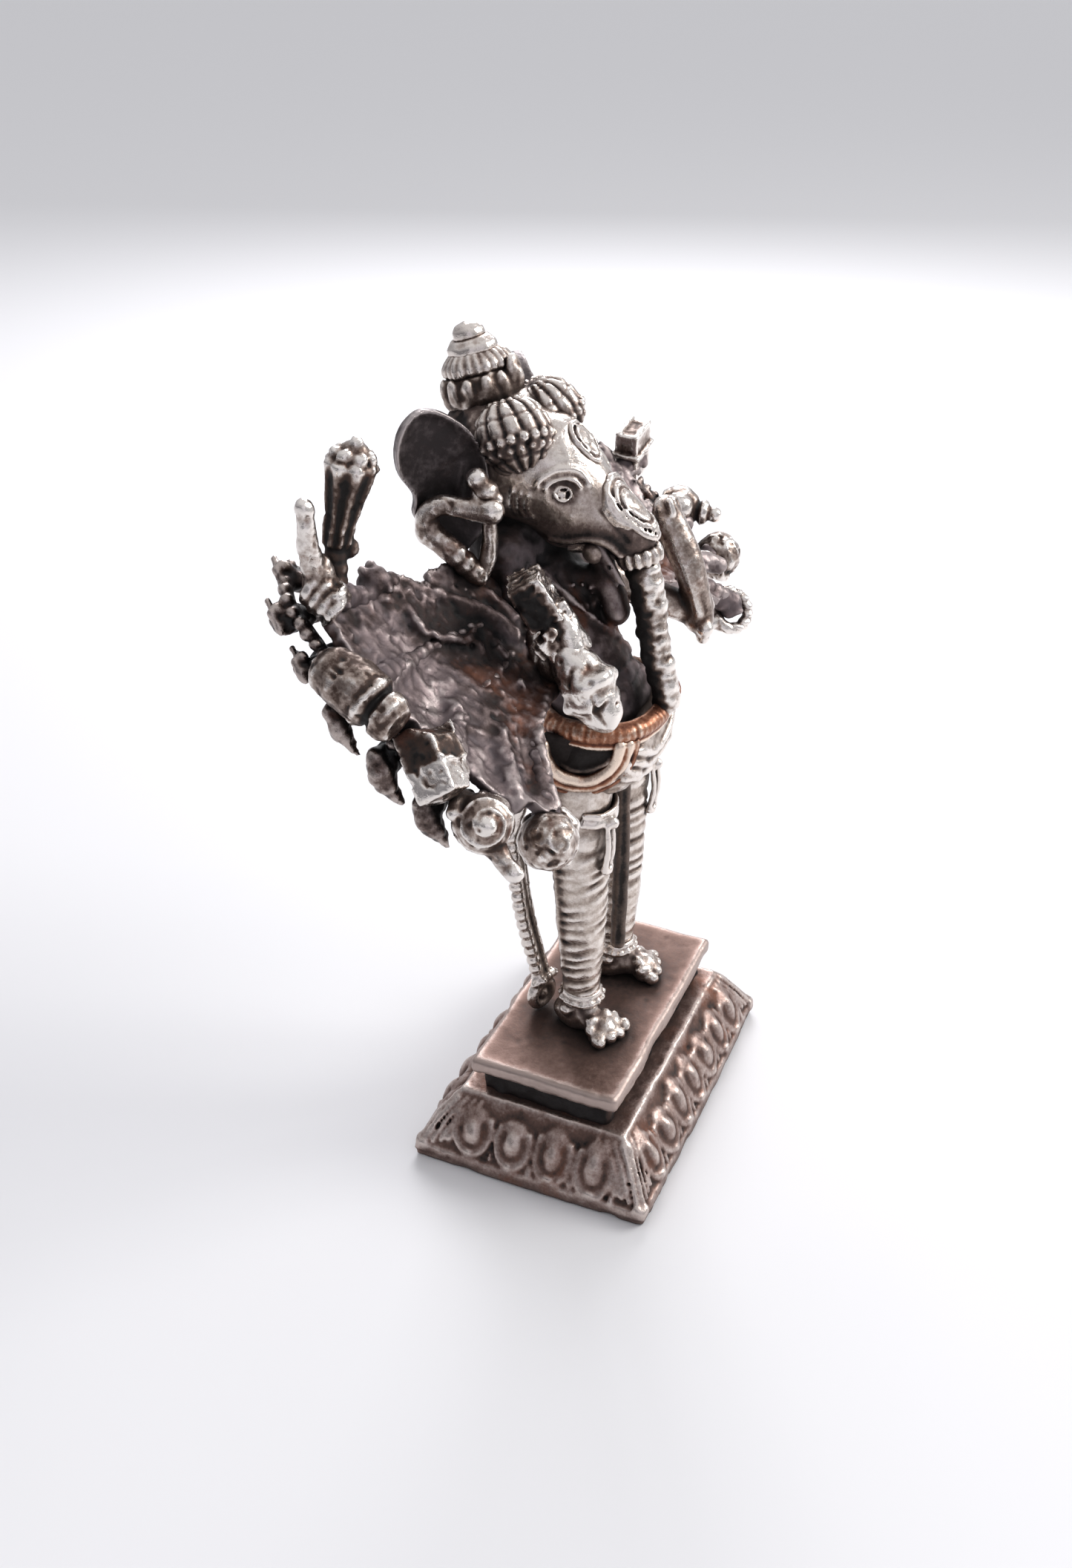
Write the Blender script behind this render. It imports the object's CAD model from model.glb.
"""Builds a small cast brass figure, an elephant-headed and many-armed god on a lotus plinth.

Every piece is worked as a founder works wax: rolled strands, pressed pellets and cut grooves are gathered
as distances on a fine grid, the grid is skinned with a mesh, and the mesh is dressed with a rubbed patina.
Lengths in the classes are millimetres in the row frame; meshes are made in metres.
"""
import logging
from collections.abc import Callable, Sequence
from dataclasses import dataclass
from enum import Enum
from math import copysign, cos, hypot, pi, radians, sin, tau

import bpy
import numpy as np
from mathutils import Matrix, Vector


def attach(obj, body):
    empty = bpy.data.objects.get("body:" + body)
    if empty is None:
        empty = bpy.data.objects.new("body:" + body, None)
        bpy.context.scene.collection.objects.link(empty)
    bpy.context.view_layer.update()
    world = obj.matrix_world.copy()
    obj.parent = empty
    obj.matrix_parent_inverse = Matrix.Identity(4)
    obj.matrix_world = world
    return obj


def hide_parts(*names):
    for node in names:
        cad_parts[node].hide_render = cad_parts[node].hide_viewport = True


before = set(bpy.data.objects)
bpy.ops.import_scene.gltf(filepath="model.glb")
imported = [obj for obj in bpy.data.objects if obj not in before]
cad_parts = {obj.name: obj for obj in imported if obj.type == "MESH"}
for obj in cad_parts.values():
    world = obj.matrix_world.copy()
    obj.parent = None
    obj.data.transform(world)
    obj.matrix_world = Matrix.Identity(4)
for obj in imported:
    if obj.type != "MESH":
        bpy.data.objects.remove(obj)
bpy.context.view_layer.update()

log = logging.getLogger("figure")

MM = 0.001
FAR = 9.0
GRAIN = 0.27

Point = Sequence[float]
Radius = float | tuple[float, float] | Callable[[np.ndarray, np.ndarray], np.ndarray]


class Side(Enum):
    """A side of the figure: its own left is +X, its right is -X."""

    LEFT = 1
    RIGHT = -1

    @property
    def word(self) -> str:
        """Lower-case name, as the nodes end with it."""
        return self.name.lower()

    def at(self, point: Point) -> tuple[float, float, float]:
        """A point given for the left side, on this side."""
        return (self.value * point[0], point[1], point[2])


class Join(Enum):
    """How a new form meets the wax that is already there."""

    ADD = "add"
    CARVE = "carve"


# ---------------------------------------------------------------------------------------------------------
# Wax: forms as distances on a grid


def unit(vector: Point) -> np.ndarray:
    """The vector scaled to length 1."""
    array = np.asarray(vector, float)
    return array / np.linalg.norm(array)


def rise(value: np.ndarray, run: float) -> np.ndarray:
    """A value's share of a run, held between 0 and 1."""
    return np.clip(value / run, 0, 1)


def compass(count: int) -> list[tuple[float, float]]:
    """Cosine and sine of evenly spaced angles once round."""
    return [(cos(a), sin(a)) for a in np.linspace(0, tau, count, False)]


def frame_of(direction: Point, up: Point = (0.0, 0.0, 1.0)) -> np.ndarray:
    """Right-handed axes with the third along a direction.

    Args:
        direction: Where the third axis points.
        up: A rough direction for the second axis.

    Returns:
        A 3x3 array with the axes as columns.
    """
    third = unit(direction)
    helper = np.asarray(up, float)
    if abs(third @ unit(helper)) > 0.95:
        helper = np.array((0.0, 1.0, 0.0)) if abs(third[1]) < 0.9 else np.array((1.0, 0.0, 0.0))
    first = unit(np.cross(helper, third))
    return np.column_stack((first, np.cross(third, first), third))


def spline(points: Sequence[Point], steps: int, closed: bool = False) -> np.ndarray:
    """Smooth line through points.

    Args:
        points: Points that the line passes through.
        steps: Short straight runs between two points.
        closed: Whether the line returns to its start.

    Returns:
        An array of points along the line.
    """
    p = np.asarray(points, float)
    if len(p) < 3 or steps < 2:
        return np.vstack((p, p[:1])) if closed else p
    count = len(p)
    if closed:
        padded = np.vstack((p[-1:], p, p[:2]))
        spans = count
    else:
        padded = np.vstack((2 * p[:1] - p[1:2], p, 2 * p[-1:] - p[-2:-1]))
        spans = count - 1
    t = np.linspace(0, 1, steps, endpoint=False)[:, None]
    runs = []
    for i in range(spans):
        a, b, c, d = padded[i:i + 4]
        runs.append(0.5 * (2 * b + (c - a) * t + (2 * a - 5 * b + 4 * c - d) * t**2 + (3 * b - a - 3 * c + d)
            * t**3))
    return np.vstack(runs + [padded[spans + 1][None]])


def outline_distance(u: np.ndarray, v: np.ndarray, corners: Sequence[Point]) -> np.ndarray:
    """Distance to a closed outline in a plane, negative inside it.

    Args:
        u: First coordinate of the places.
        v: Second coordinate of the places.
        corners: Corners of the outline.

    Returns:
        A distance for each place.
    """
    shape = np.broadcast(u, v).shape
    best = np.full(shape, 1e9, np.float32)
    inside = np.zeros(shape, bool)
    for (ax, ay), (bx, by) in zip(corners, list(corners[1:]) + [corners[0]]):
        ex, ey = bx - ax, by - ay
        if ex * ex + ey * ey < 1e-9:
            continue
        wx, wy = u - ax, v - ay
        t = np.clip((wx * ex + wy * ey) / (ex * ex + ey * ey), 0, 1)
        best = np.minimum(best, (wx - t * ex)**2 + (wy - t * ey)**2)
        if ay != by:
            inside ^= ((ay > v) != (by > v)) & (u < ex * (v - ay) / ey + ax)
    best = np.sqrt(best)
    return np.where(inside, -best, best)


def mottle(ticks: Sequence[np.ndarray], pitch: float, seed: int) -> np.ndarray:
    """Smooth seeded unevenness over a grid, from -1 to 1.

    Args:
        ticks: The grid's places along its three axes.
        pitch: Distance between two bumps.
        seed: Which unevenness it is.

    Returns:
        One value for every grid point.
    """
    rng = np.random.default_rng(seed)
    cells, shares = [], []
    for t in ticks:
        p = (t - t[0]) / pitch
        cell = np.floor(p).astype(int)
        f = (p - cell).astype(np.float32)
        cells.append(cell)
        shares.append(f * f * (3 - 2 * f))
    field = rng.uniform(-1, 1, [c[-1] + 2 for c in cells]).astype(np.float32)
    for axis, (cell, share) in enumerate(zip(cells, shares)):
        share = share.reshape([-1 if k == axis else 1 for k in range(3)])
        field = field.take(cell, axis) * (1 - share) + field.take(cell + 1, axis) * share
    return field


class Wax:
    """A block of wax on a grid: forms are added, carved and blended, and then it is skinned."""

    def __init__(self, low: Point, high: Point, grain: float = GRAIN,
            place: np.ndarray | None = None) -> None:
        """Starts an empty block.

        Args:
            low: Lowest corner of what will be modelled.
            high: Highest corner of it.
            grain: Distance between grid points.
            place: 4x4 matrix from the block's own frame to the row frame, both in millimetres.
        """
        self.grain = grain
        self.place = np.eye(4) if place is None else place
        self.low = np.asarray(low, float) - 3 * grain
        steps = np.ceil((np.asarray(high, float) + 3 * grain - self.low) / grain).astype(int) + 1
        self.ticks = [(self.low[k] + grain * np.arange(steps[k])).astype(np.float32) for k in range(3)]
        self.field = np.full(steps, FAR, np.float32)
        self.tone = np.zeros(steps, np.float32)
        self.powder: np.ndarray | None = None

    def window(self, low: Point, high: Point) -> tuple[tuple[slice, ...], list[np.ndarray]]:
        """The part of the grid between two corners, as slices and coordinates that broadcast.

        Args:
            low: Lowest corner.
            high: Highest corner.

        Returns:
            One slice and one array of places for each axis.
        """
        cut, axes = [], []
        for k in range(3):
            count = len(self.ticks[k])
            first = min(max(0, int((low[k] - self.low[k]) / self.grain)), count - 1)
            last = max(first + 1, min(count, int((high[k] - self.low[k]) / self.grain) + 2))
            cut.append(slice(first, last))
            axes.append(self.ticks[k][first:last].reshape([-1 if j == k else 1 for j in range(3)]))
        return tuple(cut), axes

    def all(self) -> list[np.ndarray]:
        """Coordinates of the whole grid."""
        return [self.ticks[k].reshape([-1 if j == k else 1 for j in range(3)]) for k in range(3)]

    def merge(self, cut: tuple[slice, ...], dist: np.ndarray, blend: float, join: Join) -> None:
        """Joins distances to the block, with a fillet as wide as the blend.

        Args:
            cut: The part of the grid that they cover.
            dist: The distances.
            blend: Width of the fillet.
            join: Whether they are added or carved.
        """
        old = self.field[cut]
        if join is Join.ADD:
            h = np.clip(0.5 + 0.5 * (old - dist) / blend, 0, 1)
            self.field[cut] = old + (dist - old) * h - blend * h * (1 - h)
        else:
            new = -dist
            h = np.clip(0.5 + 0.5 * (new - old) / blend, 0, 1)
            self.field[cut] = old + (new - old) * h + blend * h * (1 - h)

    def ball(self, centre: Point, radius: float | Point, axes: np.ndarray | None = None, blend: float = 0.5,
            join: Join = Join.ADD) -> None:
        """Adds a pellet, round or oval.

        Args:
            centre: Its middle.
            radius: Its radius, or three along its axes.
            axes: 3x3 array with its axes as columns.
            blend: Width of the fillet round it.
            join: How it meets the wax.
        """
        r = np.full(3, radius, float) if np.isscalar(radius) else np.asarray(radius, float)
        reach = r.max() + blend + self.grain
        c = np.asarray(centre, float)
        cut, (x, y, z) = self.window(c - reach, c + reach)
        q = [x - c[0], y - c[1], z - c[2]]
        if axes is not None:
            q = [q[0] * axes[0, k] + q[1] * axes[1, k] + q[2] * axes[2, k] for k in range(3)]
        if np.ptp(r) < 1e-6:
            dist = np.sqrt(q[0]**2 + q[1]**2 + q[2]**2) - r[0]
        else:
            near = np.sqrt((q[0] / r[0])**2 + (q[1] / r[1])**2 + (q[2] / r[2])**2)
            slope = np.sqrt((q[0] / r[0]**2)**2 + (q[1] / r[1]**2)**2 + (q[2] / r[2]**2)**2)
            dist = near * (near - 1) / np.maximum(slope, 1e-3)
        self.merge(cut, dist, blend, join)

    def strand(self, points: Sequence[Point], radius: Radius, blend: float = 0.5, join: Join = Join.ADD,
            flat: tuple[Point, float] | None = None, slant: Point | None = None, steps: int = 6,
            closed: bool = False) -> None:
        """Adds a rolled strand along a smooth line.

        Args:
            points: Points of the line.
            radius: A radius, one at each end, or a function of the distance and the share along the line.
            blend: Width of the fillet round it.
            join: How it meets the wax.
            flat: A direction to press it along and its thickness there as a share of its width.
            slant: Lean of the radius function's rings, as millimetres of shift per millimetre off the line.
            steps: Straight runs between two points.
            closed: Whether it is a loop.
        """
        line = spline(points, steps, closed)
        runs = np.linalg.norm(np.diff(line, axis=0), axis=1)
        along = np.concatenate(([0.0], np.cumsum(runs)))
        if callable(radius):
            size = radius
            probe = np.linspace(0, 1, 60)
            reach = float(np.max(size(probe * along[-1], probe)))
        else:
            ends = (radius, radius) if np.isscalar(radius) else radius
            reach = max(ends)

            def size(s: np.ndarray, share: np.ndarray) -> np.ndarray:
                """Even taper from one end to the other."""
                return ends[0] + (ends[1] - ends[0]) * share
        reach += blend + self.grain
        own = np.full_like(self.field, FAR)
        for a, b, start, run in zip(line, line[1:], along, runs):
            if run < 1e-6:
                continue
            cut, (x, y, z) = self.window(np.minimum(a, b) - reach, np.maximum(a, b) + reach)
            d = (b - a) / run
            q = [x - a[0], y - a[1], z - a[2]]
            s = np.clip(q[0] * d[0] + q[1] * d[1] + q[2] * d[2], 0, run)
            off = [q[k] - s * d[k] for k in range(3)]
            square = off[0]**2 + off[1]**2 + off[2]**2
            if flat is not None:
                n = unit(flat[0])
                square = square + (off[0] * n[0] + off[1] * n[1] + off[2] * n[2])**2 * (flat[1]**-2 - 1)
            s = s + start
            if slant is not None:
                s = s + off[0] * slant[0] + off[1] * slant[1] + off[2] * slant[2]
            dist = np.sqrt(square) - size(s, np.clip(s / along[-1], 0, 1))
            own[cut] = np.minimum(own[cut], dist)
        cut, _ = self.window(line.min(0) - reach, line.max(0) + reach)
        self.merge(cut, own[cut], blend, join)

    def groove(self, points: Sequence[Point], radius: Radius, blend: float = 0.5, steps: int = 6,
            closed: bool = False) -> None:
        """Presses a groove along a smooth line."""
        self.strand(points, radius, blend, Join.CARVE, steps=steps, closed=closed)

    def fill(self, dist: np.ndarray, blend: float) -> None:
        """Adds a form given as distances over the whole grid."""
        self.merge((slice(None),) * 3, dist, blend, Join.ADD)

    def pellets(self, points: Sequence[Point], spacing: float, radius: float, blend: float = 0.25,
            closed: bool = False, join: Join = Join.ADD) -> None:
        """Presses a row of round pellets along a smooth line, at an even spacing.

        Args:
            points: Points of the line.
            spacing: Distance between pellets.
            radius: Radius of each.
            blend: Width of the fillet round it.
            closed: Whether the line is a loop.
            join: How they meet the wax.
        """
        line = spline(points, 10, closed)
        runs = np.linalg.norm(np.diff(line, axis=0), axis=1)
        along = np.concatenate(([0.0], np.cumsum(runs)))
        count = max(1, round(along[-1] / spacing))
        for s in np.linspace(0, along[-1], count, endpoint=False) + (0 if closed else spacing / 2):
            centre = [np.interp(s, along, line[:, k]) for k in range(3)]
            self.ball(centre, radius, blend=blend, join=join)

    def slab(self, centre: Point, half: Point, axes: np.ndarray | None = None, edge: float = 0.4,
            blend: float = 0.4, join: Join = Join.ADD) -> None:
        """Adds a block with rounded edges.

        Args:
            centre: Its middle.
            half: Half its three sizes.
            axes: 3x3 array with its axes as columns.
            edge: Radius of its edges.
            blend: Width of the fillet round it.
            join: How it meets the wax.
        """
        reach = float(np.linalg.norm(half)) + blend + self.grain
        c = np.asarray(centre, float)
        cut, (x, y, z) = self.window(c - reach, c + reach)
        q = [x - c[0], y - c[1], z - c[2]]
        if axes is not None:
            q = [q[0] * axes[0, k] + q[1] * axes[1, k] + q[2] * axes[2, k] for k in range(3)]
        gap = [np.abs(q[k]) - (half[k] - edge) for k in range(3)]
        outer = np.sqrt(sum(np.maximum(g, 0)**2 for g in gap))
        inner = np.minimum(np.maximum(np.maximum(gap[0], gap[1]), gap[2]), 0)
        self.merge(cut, outer + inner - edge, blend, join)

    def turned(self, base: Point, axis: Point, profile: Sequence[Point], blend: float = 0.3,
            join: Join = Join.ADD, ribs: int = 0, depth: float = 0.0, twist: float = 0.0) -> None:
        """Adds a turned form.

        Args:
            base: Where its axis starts.
            axis: Direction of its axis.
            profile: Radius and height of each corner, from the foot up.
            blend: Width of the fillet round it.
            join: How it meets the wax.
            ribs: How many ribs run round it.
            depth: How far a rib stands proud.
            twist: Turn of the ribs in radians per millimetre of height.
        """
        own = frame_of(axis)
        c = np.asarray(base, float)
        reach = max(hypot(r, h) for r, h in profile) + abs(depth) + blend + self.grain
        cut, (x, y, z) = self.window(c - reach, c + reach)
        q = [(x - c[0]) * own[0, k] + (y - c[1]) * own[1, k] + (z - c[2]) * own[2, k] for k in range(3)]
        rho = np.sqrt(q[0]**2 + q[1]**2)
        if ribs:
            rho = rho - depth * np.cos(ribs * np.arctan2(q[1], q[0]) + twist * q[2])
        mirrored = [(-r, h) for r, h in reversed(profile)]
        self.merge(cut, outline_distance(rho, q[2], list(profile) + mirrored), blend, join)

    def roughen(self, pitch: float, depth: float, seed: int, where: np.ndarray | float = 1.0) -> None:
        """Makes the whole surface uneven by up to a depth."""
        self.field += depth * mottle(self.ticks, pitch, seed) * where

    def weather(self, seed: int, *bumps: tuple[float, float]) -> None:
        """Makes the surface uneven with layers of bumps, each given by its pitch and depth."""
        for k, (pitch, depth) in enumerate(bumps):
            self.roughen(pitch, depth, seed + k)

    def pit(self, pitch: float, depth: float, seed: int, share: float = 0.35) -> None:
        """Leaves small pits, as gas and grit do in the mould."""
        self.field += depth * np.clip((mottle(self.ticks, pitch, seed) - share) / (1 - share), 0, 1)

    def tint(self, amount: np.ndarray | float) -> None:
        """Marks a region for a paler (above 0) or darker patina."""
        self.tone += amount

    def bloom(self, amount: np.ndarray | float) -> None:
        """Marks a region where pale dust lies (above 0) or copper-red shows (below 0)."""
        self.powder = amount + (np.zeros_like(self.field) if self.powder is None else self.powder)

    def sample(self, grid: np.ndarray, spots: np.ndarray) -> np.ndarray:
        """Values of a grid at places given in grid steps, blended between its points.

        Args:
            grid: The values.
            spots: The places, a row each.

        Returns:
            One value for each place.
        """
        cell = np.clip(np.floor(spots).astype(int), 0, np.array(grid.shape) - 2)
        f = spots - cell
        total = np.zeros(len(spots))
        for corner in np.ndindex(2, 2, 2):
            share = np.prod(np.where(corner, f, 1 - f), axis=1)
            total += share * grid[tuple((cell + corner).T)]
        return total

    def seat(self, points: Sequence[Point], lift: float = 0.0) -> np.ndarray:
        """Moves points straight onto the surface, or to a height above it.

        Args:
            points: The points.
            lift: The height.

        Returns:
            The moved points.
        """
        p = np.asarray(points, float).copy()
        limit = np.array(self.field.shape) - 2
        for _ in range(8):
            cell = np.clip(np.round((p - self.low) / self.grain).astype(int), 1, limit)
            value = self.field[tuple(cell.T)]
            slope = np.stack([self.field[tuple((cell + step).T)] - self.field[tuple((cell - step).T)]
                for step in np.eye(3, dtype=int)], axis=1)
            slope /= np.maximum(np.linalg.norm(slope, axis=1), 1e-6)[:, None]
            value = value + np.sum((p - (self.low + cell * self.grain)) * slope, axis=1)
            p -= (value - lift)[:, None] * slope * 0.8
        return p

    def relief(self, cells: int) -> np.ndarray:
        """How proud each grid point stands of its surroundings: above 0 on ridges, below 0 in grooves.

        Args:
            cells: Reach of the surroundings, in grid steps.

        Returns:
            A value for every grid point.
        """
        level = np.clip(self.field, -cells * self.grain, cells * self.grain)
        total = level.astype(np.float64)
        for axis in range(3):
            padded = np.pad(total, [(cells + 1, cells) if k == axis else (0, 0) for k in range(3)], "edge")
            sums = np.cumsum(padded, axis)
            wide = 2 * cells + 1
            upper = sums.take(range(wide, sums.shape[axis]), axis)
            total = (upper - sums.take(range(0, sums.shape[axis] - wide), axis)) / wide
        return ((total - level) / (cells * self.grain)).astype(np.float32)

    def skin(self) -> tuple[np.ndarray, np.ndarray]:
        """Meshes the surface with four-sided faces, one vertex in each grid cell that it crosses.

        Returns:
            Vertices in grid steps, and faces as rows of four vertex numbers.
        """
        f = self.field
        inside = f < 0
        shape = np.array(f.shape) - 1
        corners = [(i, j, k) for i in (0, 1) for j in (0, 1) for k in (0, 1)]
        count = np.zeros(shape, np.int8)
        for i, j, k in corners:
            count += inside[i:i + shape[0], j:j + shape[1], k:k + shape[2]]
        cells = np.argwhere((count > 0) & (count < 8))
        number = np.full(shape, -1, np.int64)
        number[tuple(cells.T)] = np.arange(len(cells))
        total = np.zeros((len(cells), 3))
        hits = np.zeros(len(cells))
        for a in corners:
            for axis in range(3):
                if a[axis]:
                    continue
                b = tuple(c + (k == axis) for k, c in enumerate(a))
                fa = f[tuple((cells + a).T)]
                fb = f[tuple((cells + b).T)]
                crossed = (fa < 0) != (fb < 0)
                share = fa / np.where(crossed, fa - fb, 1)
                spot = np.tile(np.array(a, float), (len(cells), 1))
                spot[:, axis] += share
                total += spot * crossed[:, None]
                hits += crossed
        vertices = cells + total / hits[:, None]
        faces = []
        for axis in range(3):
            b, c = np.eye(3, dtype=int)[[(axis + 1) % 3, (axis + 2) % 3]]
            ahead = [slice(1, None) if k == axis else slice(None) for k in range(3)]
            behind = [slice(None, -1) if k == axis else slice(None) for k in range(3)]
            here, there = inside[tuple(behind)], inside[tuple(ahead)]
            edges = np.argwhere(here != there)
            others = [k for k in range(3) if k != axis]
            edges = edges[np.all((edges[:, others] > 0) & (edges[:, others] < shape[others]), axis=1)]
            quad = np.stack([number[tuple((edges - b - c).T)], number[tuple((edges - c).T)],
                number[tuple(edges.T)], number[tuple((edges - b).T)]], axis=1)
            flip = ~here[tuple(edges.T)]
            quad[flip] = quad[flip][:, ::-1]
            faces.append(quad)
        return vertices, np.vstack(faces)

    def cast(self, name: str, ease: int = 1) -> bpy.types.Object:
        """Makes the finished mesh object, with its relief and powder stored on its vertices.

        Args:
            name: The object's name.
            ease: How many times the skin is eased towards its neighbours' mean.

        Returns:
            The object, at the origin, in metres.
        """
        vertices, faces = self.skin()
        proud = self.sample(self.tone, vertices)
        for share, wide in ((0.6, 2), (0.4, 5)):
            proud += share * self.sample(self.relief(wide), vertices)
        powder = None if self.powder is None else self.sample(self.powder, vertices)
        vertices = self.low + vertices * self.grain
        for _ in range(ease):
            pairs = np.vstack([faces[:, [k, (k + 1) % 4]] for k in range(4)])
            valence = np.bincount(pairs.ravel(), minlength=len(vertices))
            mean = np.stack([np.bincount(pairs[:, 0], vertices[pairs[:, 1], k], len(vertices))
                + np.bincount(pairs[:, 1], vertices[pairs[:, 0], k], len(vertices)) for k in range(3)],
                axis=1) / np.maximum(valence, 1)[:, None]
            vertices = 0.5 * vertices + 0.5 * mean
            near = (np.bincount(pairs[:, 0], proud[pairs[:, 1]], len(vertices))
                + np.bincount(pairs[:, 1], proud[pairs[:, 0]], len(vertices)))
            proud = 0.5 * proud + 0.5 * near / np.maximum(valence, 1)
        if np.linalg.det(self.place[:3, :3]) < 0:
            faces = faces[:, ::-1]
        vertices = (vertices @ self.place[:3, :3].T + self.place[:3, 3]) * MM
        mesh = bpy.data.meshes.new(name)
        mesh.vertices.add(len(vertices))
        mesh.vertices.foreach_set("co", vertices.astype(np.float32).ravel())
        mesh.loops.add(faces.size)
        mesh.loops.foreach_set("vertex_index", faces.astype(np.int32).ravel())
        mesh.polygons.add(len(faces))
        mesh.polygons.foreach_set("loop_start", np.arange(0, faces.size, 4, dtype=np.int32))
        mesh.update(calc_edges=True)
        mesh.polygons.foreach_set("use_smooth", np.ones(len(faces), bool))
        for label, values in (("relief", proud), ("powder", powder)):
            if values is not None:
                layer = mesh.attributes.new(label, "FLOAT", "POINT")
                layer.data.foreach_set("value", values.astype(np.float32))
        piece = bpy.data.objects.new(name, mesh)
        bpy.context.collection.objects.link(piece)
        return piece


# ---------------------------------------------------------------------------------------------------------
# Finishes


def linear(colour: str) -> tuple[float, float, float, float]:
    """An sRGB hex colour as linear values with alpha 1."""
    shares = [int(colour[k:k + 2], 16) / 255 for k in (1, 3, 5)]
    return (*[c / 12.92 if c <= 0.04045 else ((c + 0.055) / 1.055)**2.4 for c in shares], 1.0)


def add_node(tree: bpy.types.NodeTree, kind: str, inputs: dict | None = None,
        **settings: object) -> bpy.types.Node:
    """Adds a shader node.

    Args:
        tree: The tree that it joins.
        kind: The node's type, without the words ShaderNode.
        inputs: A value or another node's output for each input, by name or number.
        settings: The node's own settings.

    Returns:
        The node.
    """
    made = tree.nodes.new("ShaderNode" + kind)
    for name, value in settings.items():
        setattr(made, name, value)
    for key, value in (inputs or {}).items():
        if isinstance(value, bpy.types.NodeSocket):
            tree.links.new(value, made.inputs[key])
        else:
            made.inputs[key].default_value = value
    return made


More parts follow.
